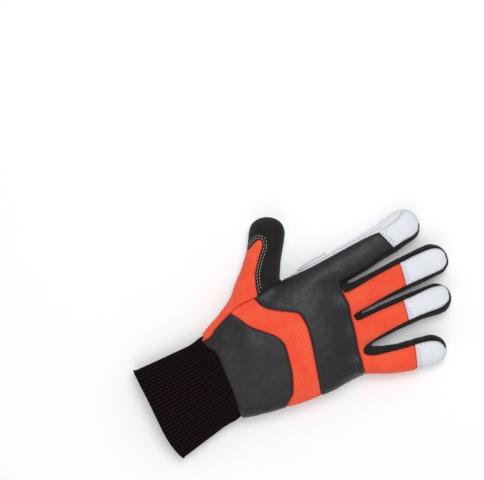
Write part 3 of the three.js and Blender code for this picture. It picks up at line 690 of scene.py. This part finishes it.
def clipped(values, triangles, field):
    """The triangles where the field is positive, cut along its zero line. values has a row of
    numbers for each point, which are shared out along the cut edges."""
    field = np.where(np.abs(field) < ON_CUT, 0.0, field)
    keep = field >= 0
    kind = keep[triangles].sum(axis=1)
    whole = triangles[kind == 3]
    whole = whole[~(field[whole] == 0).all(axis=1)]
    new_rows, lookup = [], {}

    def cut(a, b):
        key = (a, b) if a < b else (b, a)
        if key not in lookup:
            t = field[a] / (field[a] - field[b])
            lookup[key] = len(values) + len(new_rows)
            new_rows.append(values[a] + (values[b] - values[a]) * t)
        return lookup[key]

    pieces = []
    for corners in triangles[(kind == 1) | (kind == 2)].tolist():
        inside = [keep[corner] for corner in corners]
        alone = inside.index(sum(inside) == 1)
        a, b, c = corners[alone:] + corners[:alone]
        if sum(inside) == 1:
            if field[a] > 0:
                pieces.append((a, cut(a, b), cut(a, c)))
            continue
        ab = b if field[b] == 0 else cut(b, a)
        ac = c if field[c] == 0 else cut(c, a)
        if ab != b:
            pieces.append((ab, b, c))
        if ac != c:
            pieces.append((ab, c, ac))
    faces = np.vstack([whole, np.array(pieces, int).reshape(-1, 3)])
    rows = np.vstack([values, np.array(new_rows).reshape(-1, values.shape[1])])
    return main_part(rows, faces)


def main_part(values, triangles):
    """The largest connected part, without crumbs."""
    label = np.arange(len(values))
    edges, _ = edges_of(triangles)
    while True:
        low = np.minimum(label[edges[:, 0]], label[edges[:, 1]])
        new = label.copy()
        np.minimum.at(new, edges[:, 0], low)
        np.minimum.at(new, edges[:, 1], low)
        new = new[new]
        if (new == label).all():
            break
        label = new
    names, counts = np.unique(label[triangles[:, 0]], return_counts=True)
    faces = triangles[label[triangles[:, 0]] == names[counts.argmax()]]
    used, faces = np.unique(faces, return_inverse=True)
    return values[used], faces.reshape(-1, 3)


def rim_of(triangles):
    edges, counts = edges_of(triangles)
    return edges[counts == 1]


def rim_distance(points, triangles):
    """How far each point lies from the piece's own edge, up to RIM_REACH."""
    rim = rim_of(triangles)
    samples = np.vstack([points[rim[:, 0]], points[rim].mean(axis=1)])
    distance = np.full(len(points), RIM_REACH)
    cells = np.floor(points / RIM_REACH).astype(int)
    _, block_of = np.unique(cells, axis=0, return_inverse=True)
    order = np.argsort(block_of.ravel(), kind="stable")
    ends = np.flatnonzero(np.diff(block_of.ravel()[order])) + 1
    for members in np.split(order, ends):
        block = points[members]
        near = samples[(samples >= block.min(axis=0) - RIM_REACH).all(axis=1)
                       & (samples <= block.max(axis=0) + RIM_REACH).all(axis=1)]
        if len(near):
            square = ((block[:, None, :] - near[None, :, :])**2).sum(axis=2).min(axis=1)
            distance[members] = np.minimum(np.sqrt(square), RIM_REACH)
    return distance


def rolled(distance, width, depth):
    """Height of a piece whose edge turns down to its seam."""
    t = np.clip(distance / width, 0, 1)
    return depth * (np.sqrt(1 - (1 - t)**2) - 1)


def closed(outer, inner, triangles):
    """A wall between an outer and an inner skin, closed along the edge."""
    count = len(outer)
    directed = {tuple(pair) for pair in sides_of(triangles).tolist()}
    walls = []
    for a, b in rim_of(triangles).tolist():
        if (a, b) not in directed:
            a, b = b, a
        walls += [(b, a, a + count), (b, a + count, b + count)]
    faces = np.vstack([triangles, triangles[:, ::-1] + count, np.array(walls)])
    return np.vstack([outer, inner]), faces


def mesh_object(name, points, faces, material, edge=None, cloth=None):
    """A mesh in the row frame, in metres. edge holds each point's distance from its piece's edge,
    and cloth each face corner's place on the flat cloth, both in millimetres."""
    mesh = bpy.data.meshes.new(name)
    mesh.from_pydata(((points + ROW_ORIGIN) / 1000).tolist(), [], faces.tolist())
    mesh.shade_smooth()
    if edge is not None:
        layer = mesh.attributes.new("edge", "FLOAT", "POINT")
        layer.data.foreach_set("value", edge.astype(np.float32))
    if cloth is not None:
        layer = mesh.uv_layers.new(name="cloth")
        layer.data.foreach_set("uv", cloth.astype(np.float32).ravel())
    mesh.materials.append(material)
    return placed(name, mesh)


def laid_flat(points, triangles):
    """Where each point lies on the flat cloth, in millimetres, with +Y along the hand."""
    sheet = mesh_object("sheet", points, triangles, None)
    bpy.context.view_layer.objects.active = sheet
    sheet.select_set(True)
    sheet.data.uv_layers.new(name="flat")
    bpy.ops.object.mode_set(mode="EDIT")
    bpy.ops.mesh.select_all(action="SELECT")
    bpy.ops.uv.unwrap(method="CONFORMAL", margin=0)
    bpy.ops.object.mode_set(mode="OBJECT")
    flat = np.zeros((len(points), 2))
    flat[triangles.ravel()] = read(sheet.data.uv_layers["flat"].data, "uv", 2)
    bpy.data.meshes.remove(sheet.data)
    area = np.linalg.norm(facing(points, triangles), axis=1).sum()
    flat *= math.sqrt(area / np.abs(facing(flat, triangles)).sum())
    known = np.column_stack([flat, np.ones(len(flat))])
    way, *_ = np.linalg.lstsq(known, points[:, 1], rcond=None)
    way = unit(way[:2])
    return np.column_stack([flat @ (way[1], -way[0]), flat @ way])


# Materials

class Finish:
    """A material whose nodes are added one after another. Lengths in its patterns are millimetres."""

    def __init__(self, name, colour, roughness, specular=0.5):
        self.material = bpy.data.materials.new(name)
        self.material.use_nodes = True
        self.tree = self.material.node_tree
        self.shader = self.tree.nodes["Principled BSDF"]
        self.set("Base Color", colour)
        self.set("Roughness", roughness)
        self.set("Specular IOR Level", specular)

    def set(self, socket, value):
        self.put(self.shader.inputs[socket], value)

    def put(self, socket, value):
        if isinstance(value, bpy.types.NodeSocket):
            self.tree.links.new(value, socket)
        else:
            socket.default_value = (*value, 1) if socket.type == "RGBA" else value

    def node(self, kind, inputs=(), **settings):
        made = self.tree.nodes.new("ShaderNode" + kind)
        for setting, value in settings.items():
            setattr(made, setting, value)
        for socket, value in dict(inputs).items():
            self.put(made.inputs[socket], value)
        return made

    def maths(self, operation, *values):
        return self.node("Math", enumerate(values), operation=operation).outputs[0]

    def plus(self, one, other):
        return self.maths("ADD", one, other)

    def times(self, one, other):
        return self.maths("MULTIPLY", one, other)

    def wave(self, value, pitch, shift=0.0):
        """Even waves along a value, one to a pitch, moved on by shift in radians."""
        return self.maths("SINE", self.maths("MULTIPLY_ADD", value, 2 * math.pi / pitch, shift))

    def ridges(self, value, pitch):
        """Folds along a value, one to a pitch, that rise from 0 to 0.5 at its ends."""
        share = self.maths("FRACT", self.maths("DIVIDE", value, pitch))
        return self.maths("ABSOLUTE", self.maths("SUBTRACT", share, 0.5))

    def sheen(self, weight, roughness):
        self.set("Sheen Weight", weight)
        self.set("Sheen Roughness", roughness)

    def mottled(self, size, dark, light):
        """Two colours in soft clouds."""
        clouds = self.noise(self.place(), size, 3.0, 0.6)
        return self.blend(self.between(clouds, 0.3, 0.7), dark, light)

    def place(self):
        """The place on the object, in millimetres."""
        here = self.node("TexCoord").outputs["Object"]
        return self.scaled(here, (1000, 1000, 1000))

    def scaled(self, vector, factors):
        return self.node("VectorMath", {0: vector, 1: factors}, operation="MULTIPLY").outputs[0]

    def cloth(self):
        """Across and along on the flat cloth, in millimetres."""
        apart = self.node("SeparateXYZ", {0: self.node("UVMap", uv_map="cloth").outputs[0]})
        return apart.outputs[0], apart.outputs[1]

    def noise(self, vector, size, detail=2.0, roughness=0.5):
        return self.node("TexNoise", {"Vector": vector, "Scale": 1 / size, "Detail": detail,
                                      "Roughness": roughness}).outputs[0]

    def cells(self, vector, size):
        return self.node("TexVoronoi", {"Vector": vector, "Scale": 1 / size}).outputs["Distance"]

    def between(self, value, low, high, start=0.0, end=1.0):
        """A value from low to high turned smoothly into one from start to end."""
        return self.node("MapRange", {"Value": value, "From Min": low, "From Max": high,
                                      "To Min": start, "To Max": end},
                         interpolation_type="SMOOTHSTEP").outputs[0]

    def blend(self, share, first, second):
        mixer = self.node("Mix", data_type="RGBA")
        for socket, value in ((mixer.inputs[0], share), (mixer.inputs[6], first),
                              (mixer.inputs[7], second)):
            self.put(socket, value)
        return mixer.outputs[2]

    def paint(self, colour, *layers):
        """The base colour: one colour, with others over it. Each has its share, its strength and
        its colour."""
        for share, strength, over in layers:
            colour = self.blend(self.times(share, strength), colour, over)
        self.set("Base Color", colour)

    def relief(self, *layers):
        """The fine shape of the surface, from heights and the depth of each, coarse to fine."""
        under = {}
        for height, depth in layers:
            bump = self.node("Bump", {"Height": height, "Distance": depth / 1000, "Strength": 1.0,
                                      **under})
            under = {"Normal": bump.outputs[0]}
        self.set("Normal", under["Normal"])

    # Share of each point near its piece's edge: used for rubbed edges on black leather, and for
    # painted shade along the seams on white leather and orange cloth.
    def edge_wear_and_shade(self, reach):
        away = self.node("Attribute", attribute_name="edge").outputs["Fac"]
        return self.between(away, 0.0, reach, 1.0, 0.0)


def leather(name, pebble_shade, dark, light, rubbed_and_shaded_edge, roughness, grain, folding, specular):
    """Leather with pebbled grain, fine pores and speckled colour. Folding is the depth of its soft
    folds.
    The colour between its pebbles is painted shade. Its edges take a colour of their own: lighter
    rubbing on black leather, a darker grey of painted shade on white leather."""
    finish = Finish(name, dark, roughness, specular)
    here = finish.place()
    bent = finish.noise(here, 3.0, 2.0)
    bend = finish.scaled(finish.node("CombineXYZ", {0: bent, 1: bent, 2: bent}).outputs[0],
                         (1.2, 1.2, 1.2))
    wavy = finish.node("VectorMath", {0: here, 1: bend}, operation="ADD").outputs[0]
    pebbles = finish.cells(wavy, grain)
    pores = finish.noise(here, grain * 0.3, 3.0, 0.6)
    folds = finish.noise(finish.scaled(wavy, (1.0, 0.35, 1.0)), 6.0, 3.0, 0.5)
    speckle = finish.noise(here, 2.2, 3.0, 0.7)
    clouds = finish.noise(here, 22.0, 2.0, 0.5)
    shade = finish.plus(finish.times(speckle, 0.65), finish.times(clouds, 0.35))
    # Edge colour: lighter rubbing on black leather, painted shade on white leather. The colour
    # between the pebbles is painted shade.
    rubbing_and_shade = finish.times(finish.edge_wear_and_shade(1.5), finish.between(pores, 0.35, 0.7))
    finish.paint(finish.blend(finish.between(shade, 0.36, 0.64), dark, light),
                 (finish.between(pebbles, 0.4, 0.8), 0.4, pebble_shade), (rubbing_and_shade, 0.6, rubbed_and_shaded_edge))
    finish.set("Roughness", finish.between(speckle, 0.3, 0.7, roughness + 0.07, roughness - 0.06))
    finish.relief((folds, folding), (finish.maths("SUBTRACT", 1.0, pebbles), 0.12), (pores, 0.06))
    return finish.material


def orange_cloth(name):
    """Fluorescent cloth knitted in small raised diamonds."""
    finish = Finish(name, (1.0, 0.07, 0.015), 0.85, 0.25)
    across, along = finish.cloth()
    diamonds = finish.times(finish.wave(finish.plus(across, along), 3.2),
                            finish.wave(finish.maths("SUBTRACT", across, along), 3.2))
    # The darker red in the hollows between the raised diamonds is painted shade.
    finish.paint(finish.mottled(14.0, (1.0, 0.095, 0.040), (1.0, 0.140, 0.060)),
                 (finish.between(diamonds, 0.1, -0.8), 0.85, (0.62, 0.020, 0.008)),
                 # Darker red near each piece's edge, where it rolls down into its seam, is painted
                 # shade.
                 (finish.edge_wear_and_shade(1.8), 0.45, (0.50, 0.015, 0.006)))
    finish.sheen(0.25, 0.4)
    finish.set("Sheen Tint", (1.0, 0.45, 0.3))
    height = finish.plus(diamonds, finish.times(finish.wave(across, 0.36), 0.22))
    finish.relief((height, 0.16), (finish.noise(finish.place(), 0.5, 2.0, 0.6), 0.08))
    return finish.material


def black_cloth(name):
    """Stretch cloth with fine ribs along it."""
    finish = Finish(name, (0.010, 0.009, 0.008), 0.8, 0.18)
    across, along = finish.cloth()
    ribs = finish.wave(across, 1.3)
    loops = finish.wave(along, 0.75, finish.times(ribs, 1.2))
    fuzz = finish.noise(finish.place(), 0.4, 2.0, 0.6)
    # The lighter colour on the tops of the ribs is a painted highlight.
    finish.paint(finish.mottled(9.0, (0.008, 0.007, 0.007), (0.015, 0.013, 0.012)),
                 (finish.between(ribs, 0.0, 1.0), 0.5, (0.026, 0.023, 0.021)),
                 (fuzz, 0.3, (0.004, 0.004, 0.004)))
    finish.sheen(0.06, 0.5)
    finish.relief((finish.plus(ribs, finish.times(loops, 0.45)), 0.14), (fuzz, 0.08))
    return finish.material


def black_knit(name, rib):
    """Rib knit: two columns of V-shaped stitches up each rib, whose width is rib."""
    finish = Finish(name, (0.006, 0.0035, 0.004), 0.95, 0.04)
    across, along = finish.cloth()
    half = finish.ridges(across, rib / 2)
    yarn = finish.wave(along, 1.5, finish.times(half, 1.3 * 2 * math.pi))
    loops = finish.times(finish.between(yarn, -0.9, 0.6), finish.between(half, 0.0, 0.09))
    clouds = finish.noise(finish.place(), 11.0, 2.0, 0.5)
    # The hollows between the ribs are painted darker still: painted shade.
    valley_shade = finish.between(finish.ridges(across, rib), 0.2, 0.42)
    # The loops are painted lighter than the dark gaps between them: painted light and shade.
    finish.paint(finish.blend(loops, (0.0030, 0.0012, 0.0016), (0.0330, 0.0160, 0.0195)),
                 (finish.between(clouds, 0.35, 0.7), 0.5, (0.0140, 0.0066, 0.0082)),
                 (valley_shade, 1.0, (0.0012, 0.0006, 0.0007)))
    finish.sheen(0.01, 0.5)
    finish.relief((loops, 0.35), (finish.noise(finish.place(), 0.35, 3.0, 0.7), 0.10))
    return finish.material


def thread(name, colour):
    """Two-ply sewing thread."""
    finish = Finish(name, colour, 0.6, 0.3)
    ply = finish.node("TexWave", {"Vector": finish.place(), "Scale": 1.2,
                                  "Distortion": 1.5}).outputs[1]
    # Darker in the grooves between the plies: painted shade.
    finish.paint(finish.blend(ply, tuple(0.55 * c for c in colour), colour))
    finish.relief((ply, 0.05))
    return finish.material


def floor_finish():
    finish = Finish("floor", (0.93, 0.93, 0.93), 0.95, 0.1)
    clouds = finish.noise(finish.place(), 400.0, 1.0)
    finish.paint(finish.blend(clouds, (0.925, 0.925, 0.925), (0.935, 0.935, 0.935)))
    return finish.material


RIBS = 58
RIB_PITCH = 3.4
MATERIALS = {
    # White leather: the darker grey between the pebbles and at the edges is painted shade. Black
    # leather: the colour between the pebbles is painted shade, and its lighter edges are rubbing.
    "white_leather": leather("white_leather", (0.61, 0.635, 0.675), (0.695, 0.72, 0.765),
                             (0.730, 0.755, 0.800), (0.60, 0.61, 0.63), 0.50, 0.7, 0.24, 0.4),
    "black_leather": leather("black_leather", (0.0025, 0.0025, 0.004), (0.006, 0.006, 0.0095),
                             (0.016, 0.0155, 0.0215), (0.034, 0.034, 0.037),
                             0.43, 1.0, 0.17, 0.38),
    "orange_cloth": orange_cloth("orange_cloth"),
    "black_cloth": black_cloth("black_cloth"),
    "black_knit": black_knit("black_knit", RIB_PITCH),
}
WOVEN = ("orange_cloth", "black_cloth")

# Pieces: slot, how wide and deep the edge rolls, how far the piece stands out
PIECES = {
    "palm_leather": ("white_leather", 1.8, 0.9, 0.0),
    "thumb_palm": ("white_leather", 1.8, 0.9, 0.0),
    "thumb_back": ("black_cloth", 1.6, 0.9, 0.0),
    "thumb_side": ("orange_cloth", 1.6, 1.0, 0.0),
    "wrist_patch": ("black_leather", 1.4, 0.9, 0.4),
    "back_band": ("orange_cloth", 2.0, 1.1, 0.2),
    "knuckle_patch": ("black_leather", 1.4, 0.9, 0.4),
    "finger_backs": ("orange_cloth", 2.0, 1.1, 0.2),
    **{strip: ("black_cloth", 1.4, 0.9, 0.0) for strip in STRIPS},
    **{"tip_" + finger: ("white_leather", 1.6, 0.9, 0.1) for finger in FINGERS},
}


def dressed(piece, node):
    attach(piece, "root")
    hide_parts(node)


def cut_out(skin, triangles, field):
    """Places, normals, triangles and distances from the edge, of the skin where field is positive."""
    values, faces = clipped(skin, triangles, field)
    return values[:, :3], values[:, 3:], faces, rim_distance(values[:, :3], faces)


def walled(name, slot, sheet, outer, inset, flat=None):
    """A panel from its outer skin to one at inset along the normals. Returns its outer sheet."""
    points, normals, faces, distance = sheet
    shape, walls = closed(outer, points + normals * inset, faces)
    cloth = None if flat is None else np.tile(flat, (2, 1))[walls.ravel()]
    piece = mesh_object(name + "_panel", shape, walls, MATERIALS[slot], np.tile(distance, 2), cloth)
    dressed(piece, name)
    return outer, normals, faces, distance


def make_piece(name, skin, triangles, field):
    """One panel of the skin. Returns its outer sheet for the stitching."""
    slot, width, depth, lift = PIECES[name]
    sheet = cut_out(skin, triangles, field - PANEL_GAP)
    points, normals, faces, distance = sheet
    height = rolled(distance, width, depth) + lift * smooth_step(distance, 0, 2 * width)
    outer = points + normals * height[:, None]
    outer[:, 2] = np.maximum(outer[:, 2], 0.02)
    flat = None
    if slot in WOVEN:
        flat = points[:, [2, 1]] if name in STRIPS else laid_flat(points, faces)
    return walled(name, slot, sheet, outer, -WALL, flat)


# Quilting of the palm patch: its height and where that is full, then the groove along each seam
QUILT_HEIGHT = 0.5
QUILT_REACH = 9
GROOVE_DEPTH = 0.7
GROOVE_WIDTH = 1.1


def quilted(points):
    """Height of the palm patch between the rows of stitches across it."""
    away = np.min([plan_distance(row, points)[0] for row in patch_rows], axis=0)
    return (QUILT_HEIGHT * np.clip(away / QUILT_REACH, 0, 1)**0.6
            - GROOVE_DEPTH * np.exp(-(away / GROOVE_WIDTH)**2))


def make_patch(skin, triangles, field):
    """The second layer on the palm. Returns its outer sheet for the stitching."""
    sheet = cut_out(skin, triangles, field)
    points, normals, _, distance = sheet
    height = PATCH_LIFT + rolled(distance, 1.0, 0.8) + quilted(points) * np.clip(distance, 0, 1)
    outer = points + normals * height[:, None]
    outer[:, 2] = np.maximum(above_floor(outer[:, 2], 0.04) - 0.05, 0)
    return walled("palm_patch", "white_leather", sheet, outer, SEAM_GAP)


# Cuff

RIB_STEPS = 8
CUFF_SIDES = RIBS * RIB_STEPS
RIB_DEPTH = 0.9
KNIT_WALL = 2.2
CUFF_TUCK = 9
HEM_BOW = 3.0
# Cuff sections: thumb side x, y, other side x, y, height, as in the part's source
CUFF_ROWS = [
    (-0.352, -1.000, 0.482, -0.890, 1.00),
    (-0.341, -0.955, 0.472, -0.845, 0.95),
    (-0.338, -0.420, 0.410, -0.400, 0.95),
    (-0.340, -0.170, 0.380, -0.170, 0.97),
    (-0.361, -0.070, 0.386, -0.060, 1.01),
]


def cuff_sections():
    """Smooth sections of the cuff from its open edge to its end inside the wrist."""
    rows = [(x0 * PALM_WIDTH, y0 * CUFF_LENGTH, x1 * PALM_WIDTH, y1 * CUFF_LENGTH, 0.0,
             high * CUFF_HEIGHT) for x0, y0, x1, y1, high in CUFF_ROWS]
    x0, _, x1, _, high = PALM_ROWS[1]
    inset = WALL + SEAM_GAP
    for share in (0.05, 1.0):
        rows.append((x0 * PALM_WIDTH + inset, share * CUFF_TUCK, x1 * PALM_WIDTH - inset,
                     share * CUFF_TUCK, PATCH_LIFT + inset, high * PALM_HEIGHT - inset))
    return rows


def ribbed_ring(row, inset, ribs_in):
    """Points round one section of the cuff at even distances, with its ribs raised."""
    x0, y0, x1, y1, low, high = row
    ring = section_ring(np.array([x0, y0]), np.array([x1, y1]), low, high,
                        sides=CUFF_SAMPLES)
    looped = np.vstack([ring, ring[:1]])
    reach = reach_along(looped)
    ring = read_at(np.linspace(0, reach[-1], CUFF_SIDES, endpoint=False), reach, looped)
    tangent = np.roll(ring, -1, axis=0) - np.roll(ring, 1, axis=0)
    across = unit(np.array([x1 - x0, y1 - y0, 0.0]))
    outward = unit(np.outer(tangent[:, 2], across) - np.outer(tangent @ across, (0, 0, 1)))
    t = (np.arange(CUFF_SIDES) % RIB_STEPS) / RIB_STEPS * 2 - 1
    rib = RIB_DEPTH * (np.sqrt(1 - 0.93 * t * t) - 1) / (1 - math.sqrt(0.07))
    offset = -inset + (-0.7 * rib - RIB_DEPTH * 0.3 if ribs_in else rib)
    made = ring + outward * offset[:, None]
    made[:, 2] = np.maximum(made[:, 2], 0.0)
    return made


def cuff_rings():
    """The rings of the cuff and each one's place along the knit, from the end inside the wrist
    over the open edge and back up the inside."""
    fine = smooth_rows(cuff_sections(), 400)
    reach = reach_along(fine[:, :2])
    rows = read_at(np.linspace(0, reach[-1], CUFF_RINGS), reach, fine)
    for _ in range(30):
        rows[12:-1] = (rows[11:-2] + 2 * rows[12:-1] + rows[13:]) / 4
    hem = KNIT_WALL / 2
    made = [(ribbed_ring(row, 0, False), row[1]) for row in rows[:1:-1]]
    for angle in np.linspace(0, math.pi, 9):
        edge = rows[0] + np.array([0, 1, 0, 1, 0, 0]) * hem * (1 - math.sin(angle))
        made.append((ribbed_ring(edge, hem * (1 - math.cos(angle)), angle > math.pi / 2),
                     rows[0][1] - hem * angle))
    made += [(ribbed_ring(row, KNIT_WALL, True), 2 * rows[0][1] - row[1] - 2 * hem)
             for row in rows[2::3]]
    return zip(*made)


def make_cuff():
    rings, along = cuff_rings()
    points = np.vstack(rings)
    left, right = points[:, 0].min(), points[:, 0].max()
    share = np.clip((points[:, 0] - left) / (right - left), 0, 1)
    bow = np.sin(math.pi * share**2.4) * (1 - smooth_step(points[:, 1], -66, -36))
    points[:, 1] -= HEM_BOW * bow
    wave = 0.35 * ripples(points, 22)
    near_hem = 1 - smooth_step(points[:, 1], -40, -8)
    points[:, 2] += wave * near_hem * smooth_step(points[:, 2], 1.0, 6.0)
    first = np.arange(len(points)).reshape(-1, CUFF_SIDES)
    second = np.roll(first, -1, axis=0)
    faces = np.stack([first, np.roll(first, -1, axis=1), np.roll(second, -1, axis=1), second],
                     axis=2).reshape(-1, 4)
    step = RIB_PITCH / RIB_STEPS
    across = np.broadcast_to((np.arange(CUFF_SIDES) + RIB_STEPS / 2) * step, first.shape)
    down = np.broadcast_to(np.array(along)[:, None], first.shape)
    below = np.roll(down, -1, axis=0)
    cloth = np.stack([across, down, across + step, down, across + step, below, across, below],
                     axis=2).reshape(-1, 2)
    cuff = mesh_object("knit_cuff_ribbed", points, faces, MATERIALS["black_knit"], None, cloth)
    dressed(cuff, "knit_cuff")


# Stitching

# How far from the pieces' edges the rows of stitches run
LEATHER_ROW = 1.7
THUMB_ROWS_IN = (1.5, 3.6)
TIP_ROWS_IN = (1.6, 3.4)
PALM_ROW = 2.3
PATCH_ROWS_IN = (1.3, 3.4)


def contour(rows, triangles, field, value):
    """Lines over a sheet along which the field has one value, as rows of place and normal."""
    away = field - value
    away = np.where(away == 0, 1e-6, away)
    above = away > 0
    mixed = triangles[(above[triangles].sum(axis=1) % 3) > 0]
    links = {}
    for corners in mixed.tolist():
        ends = []
        for a, b in ((0, 1), (1, 2), (2, 0)):
            a, b = corners[a], corners[b]
            if above[a] != above[b]:
                ends.append((a, b) if a < b else (b, a))
        links.setdefault(ends[0], []).append(ends[1])
        links.setdefault(ends[1], []).append(ends[0])
    lines = []
    while links:
        start = next((key for key, others in links.items() if len(others) == 1), None)
        if start is None:
            start = next(iter(links))
        line, here = [start], start
        while links.get(here):
            following = links[here].pop()
            if not links[here]:
                del links[here]
            links[following].remove(here)
            if not links[following]:
                del links[following]
            line.append(following)
            here = following
        a, b = np.array(line).T
        t = (away[a] / (away[a] - away[b]))[:, None]
        lines.append(rows[a] + (rows[b] - rows[a]) * t)
    return lines


def kept_runs(line, keep):
    """The stretches of a line where keep is true, without the shortest."""
    turns = np.flatnonzero(np.diff(keep)) + 1
    return [run for run, wanted in zip(np.split(line, turns), keep[np.append(0, turns)])
            if wanted and len(run) > 6]


def steadied(line):
    for _ in range(STITCH_ROUNDS):
        line = np.vstack([line[:1], (line[:-2] + 2 * line[1:-1] + line[2:]) / 4, line[-1:]])
    return line


STITCH_SIDES = 6
STITCH_PITCH = 3.0
STITCH_LENGTH = 2.35
STITCH_RADIUS = 0.23
# A stitch: share of its length, lift, radius as a share
STITCH_PROFILE = [(0.00, -0.30, 0.35), (0.10, -0.02, 0.85), (0.30, 0.17, 1.0), (0.50, 0.21, 1.0),
                  (0.70, 0.17, 1.0), (0.90, -0.02, 0.85), (1.00, -0.30, 0.35)]


def stitches(line):
    """Points and faces of a row of stitches along a line of places and normals."""
    reach = reach_along(line[:, :3])
    count = int(reach[-1] / STITCH_PITCH)
    starts = np.arange(count) * STITCH_PITCH + chance.uniform(-0.12, 0.12, count)
    share, lift, thick = np.transpose(STITCH_PROFILE)
    at = starts[:, None] + STITCH_LENGTH * share
    rows = read_at(at, reach, line)
    way = read_at(at + 0.3, reach, line[:, :3]) - read_at(at - 0.3, reach, line[:, :3])
    normal = unit(rows[..., 3:])
    side = unit(np.cross(normal, way))
    angles = np.linspace(0, 2 * math.pi, STITCH_SIDES, endpoint=False)[:, None]
    spokes = np.cos(angles) * side[:, :, None] + np.sin(angles) * normal[:, :, None]
    middle = rows[..., :3] + normal * lift[:, None]
    points = middle[:, :, None] + spokes * STITCH_RADIUS * thick[:, None, None]
    first = np.arange(points[..., 0].size).reshape(points.shape[:3])
    second = np.roll(first, -1, axis=2)
    faces = np.stack([first[:, :-1], second[:, :-1], second[:, 1:], first[:, 1:]], axis=3)
    return points.reshape(-1, 3), faces.reshape(-1, 4)


def near(curve, reach):
    return lambda places: plan_distance(curve, places)[0] < reach


def away_from(curve, reach):
    return lambda places: plan_distance(curve, places)[0] > reach


def anywhere(places):
    return np.ones(len(places), bool)


def make_stitching(name, rows, material):
    """rows: sheet, field over it, value of the field along the row, and where it runs."""
    points, faces = together([
        stitches(steadied(run))
        for (outer, normals, triangles, _), field, value, where in rows
        for line in contour(np.hstack([outer, normals]), triangles, field, value)
        for run in kept_runs(line, where(line[:, :3]))])
    points[:, 2] = np.maximum(points[:, 2], 0.0)
    piece = mesh_object(name, points, np.array(faces), material)
    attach(piece, "root")


def signed_side(curve, points):
    """Distance in plan from a line, positive on its left."""
    away, _ = plan_distance(curve, points)
    way = curve[-1] - curve[0]
    left = (points[:, :2] - curve[0]) @ (-way[1], way[0]) > 0
    return np.where(left, away, -away)


def sew(sheets):
    """Each row of stitches follows a sheet's edge at a distance, where it is near a seam."""
    def row(name, distance, where):
        return sheets[name], sheets[name][3], distance, where

    dark = [row("wrist_patch", LEATHER_ROW, near(curve, 2 * LEATHER_ROW))
            for curve in (wrist_patch_top, wrist_patch_side)]
    dark += [row("knuckle_patch", LEATHER_ROW, near(curve, 2 * LEATHER_ROW))
             for curve in (knuckle_low, knuckle_top, wrap, thumb_top, tip_seam("index"))]
    pale = [row("thumb_back", distance, near(thumb_seam, distance + 1.5))
            for distance in THUMB_ROWS_IN]
    grey_shaded = []
    for finger in FINGERS:
        seam = tip_seam(finger)
        grey_shaded += [row("tip_" + finger, distance, near(seam, distance + 1.2))
                 for distance in TIP_ROWS_IN]
        grey_shaded.append(row("tip_" + finger, TIP_ROWS_IN[0], away_from(seam, 4)))
    first, second = PATCH_ROWS_IN
    grey_shaded += [row("palm_leather", PALM_ROW, near(wrap, 5)), row("palm_patch", first, anywhere)]
    grey_shaded += [row("palm_patch", second, near(curve, 6.0)) for curve in (patch_top, thumb_palm_seam)]
    patch = sheets["palm_patch"]
    for curve in patch_rows:
        field = np.where(patch[0][:, 2] < 9, signed_side(curve, patch[0]), 50)
        grey_shaded.append((patch, field, 0.0, near(curve, 0.4)))
    # The grey thread on the white leather is pale thread painted darker: painted shade of its
    # stitches and holes.
    for name, rows, colour, slot in (("dark", dark, (0.030, 0.030, 0.032), "black_leather"),
                                     ("pale", pale, (0.62, 0.60, 0.56), "white_leather"),
                                     ("grey_shaded", grey_shaded, (0.42, 0.43, 0.45), "white_leather")):
        make_stitching("stitching_" + name, rows, thread("thread_" + name, colour))


def make_stage():
    camera_data = bpy.data.cameras.new("camera")
    camera_data.lens = 100
    camera_data.sensor_width = 36
    camera_data.clip_end = 10
    camera = placed("camera", camera_data, (-0.0804, -0.0111, 1.203))
    camera.rotation_euler = (0, 0, math.radians(65))
    bpy.context.scene.camera = camera

    corners = np.array([(-1, -1, 0), (1, -1, 0), (1, 1, 0), (-1, 1, 0)]) * FLOOR_REACH - ROW_ORIGIN
    mesh_object("floor", corners, np.array([(0, 1, 2, 3)]), floor_finish())

    world = bpy.data.worlds.new("studio")
    world.use_nodes = True
    background = world.node_tree.nodes["Background"].inputs
    background["Color"].default_value = (1, 1, 1, 1)
    background["Strength"].default_value = 0.60
    bpy.context.scene.world = world
    for name, place, size, power in (("key", (-0.45, 0.35, 1.5), 0.9, 11.0),
                                     ("fill", (0.7, -0.5, 1.2), 1.2, 3.6)):
        light_data = bpy.data.lights.new(name, "AREA")
        light_data.shape = "DISK"
        light_data.size = size
        light_data.energy = power
        light = placed(name, light_data, place)
        light.rotation_euler = (-light.location).to_track_quat("-Z", "Y").to_euler()
    bpy.context.scene.view_settings.view_transform = "Standard"


def make_glove():
    points, triangles = hand_skin()
    skin = np.hstack([points, normals_of(points, triangles)])
    fields = fields_of(points)
    sheets = {name: make_piece(name, skin, triangles, fields[name]) for name in PIECES}
    sheets["palm_patch"] = make_patch(skin, triangles, fields["palm_patch"])
    make_cuff()
    sew(sheets)


make_glove()
make_stage()
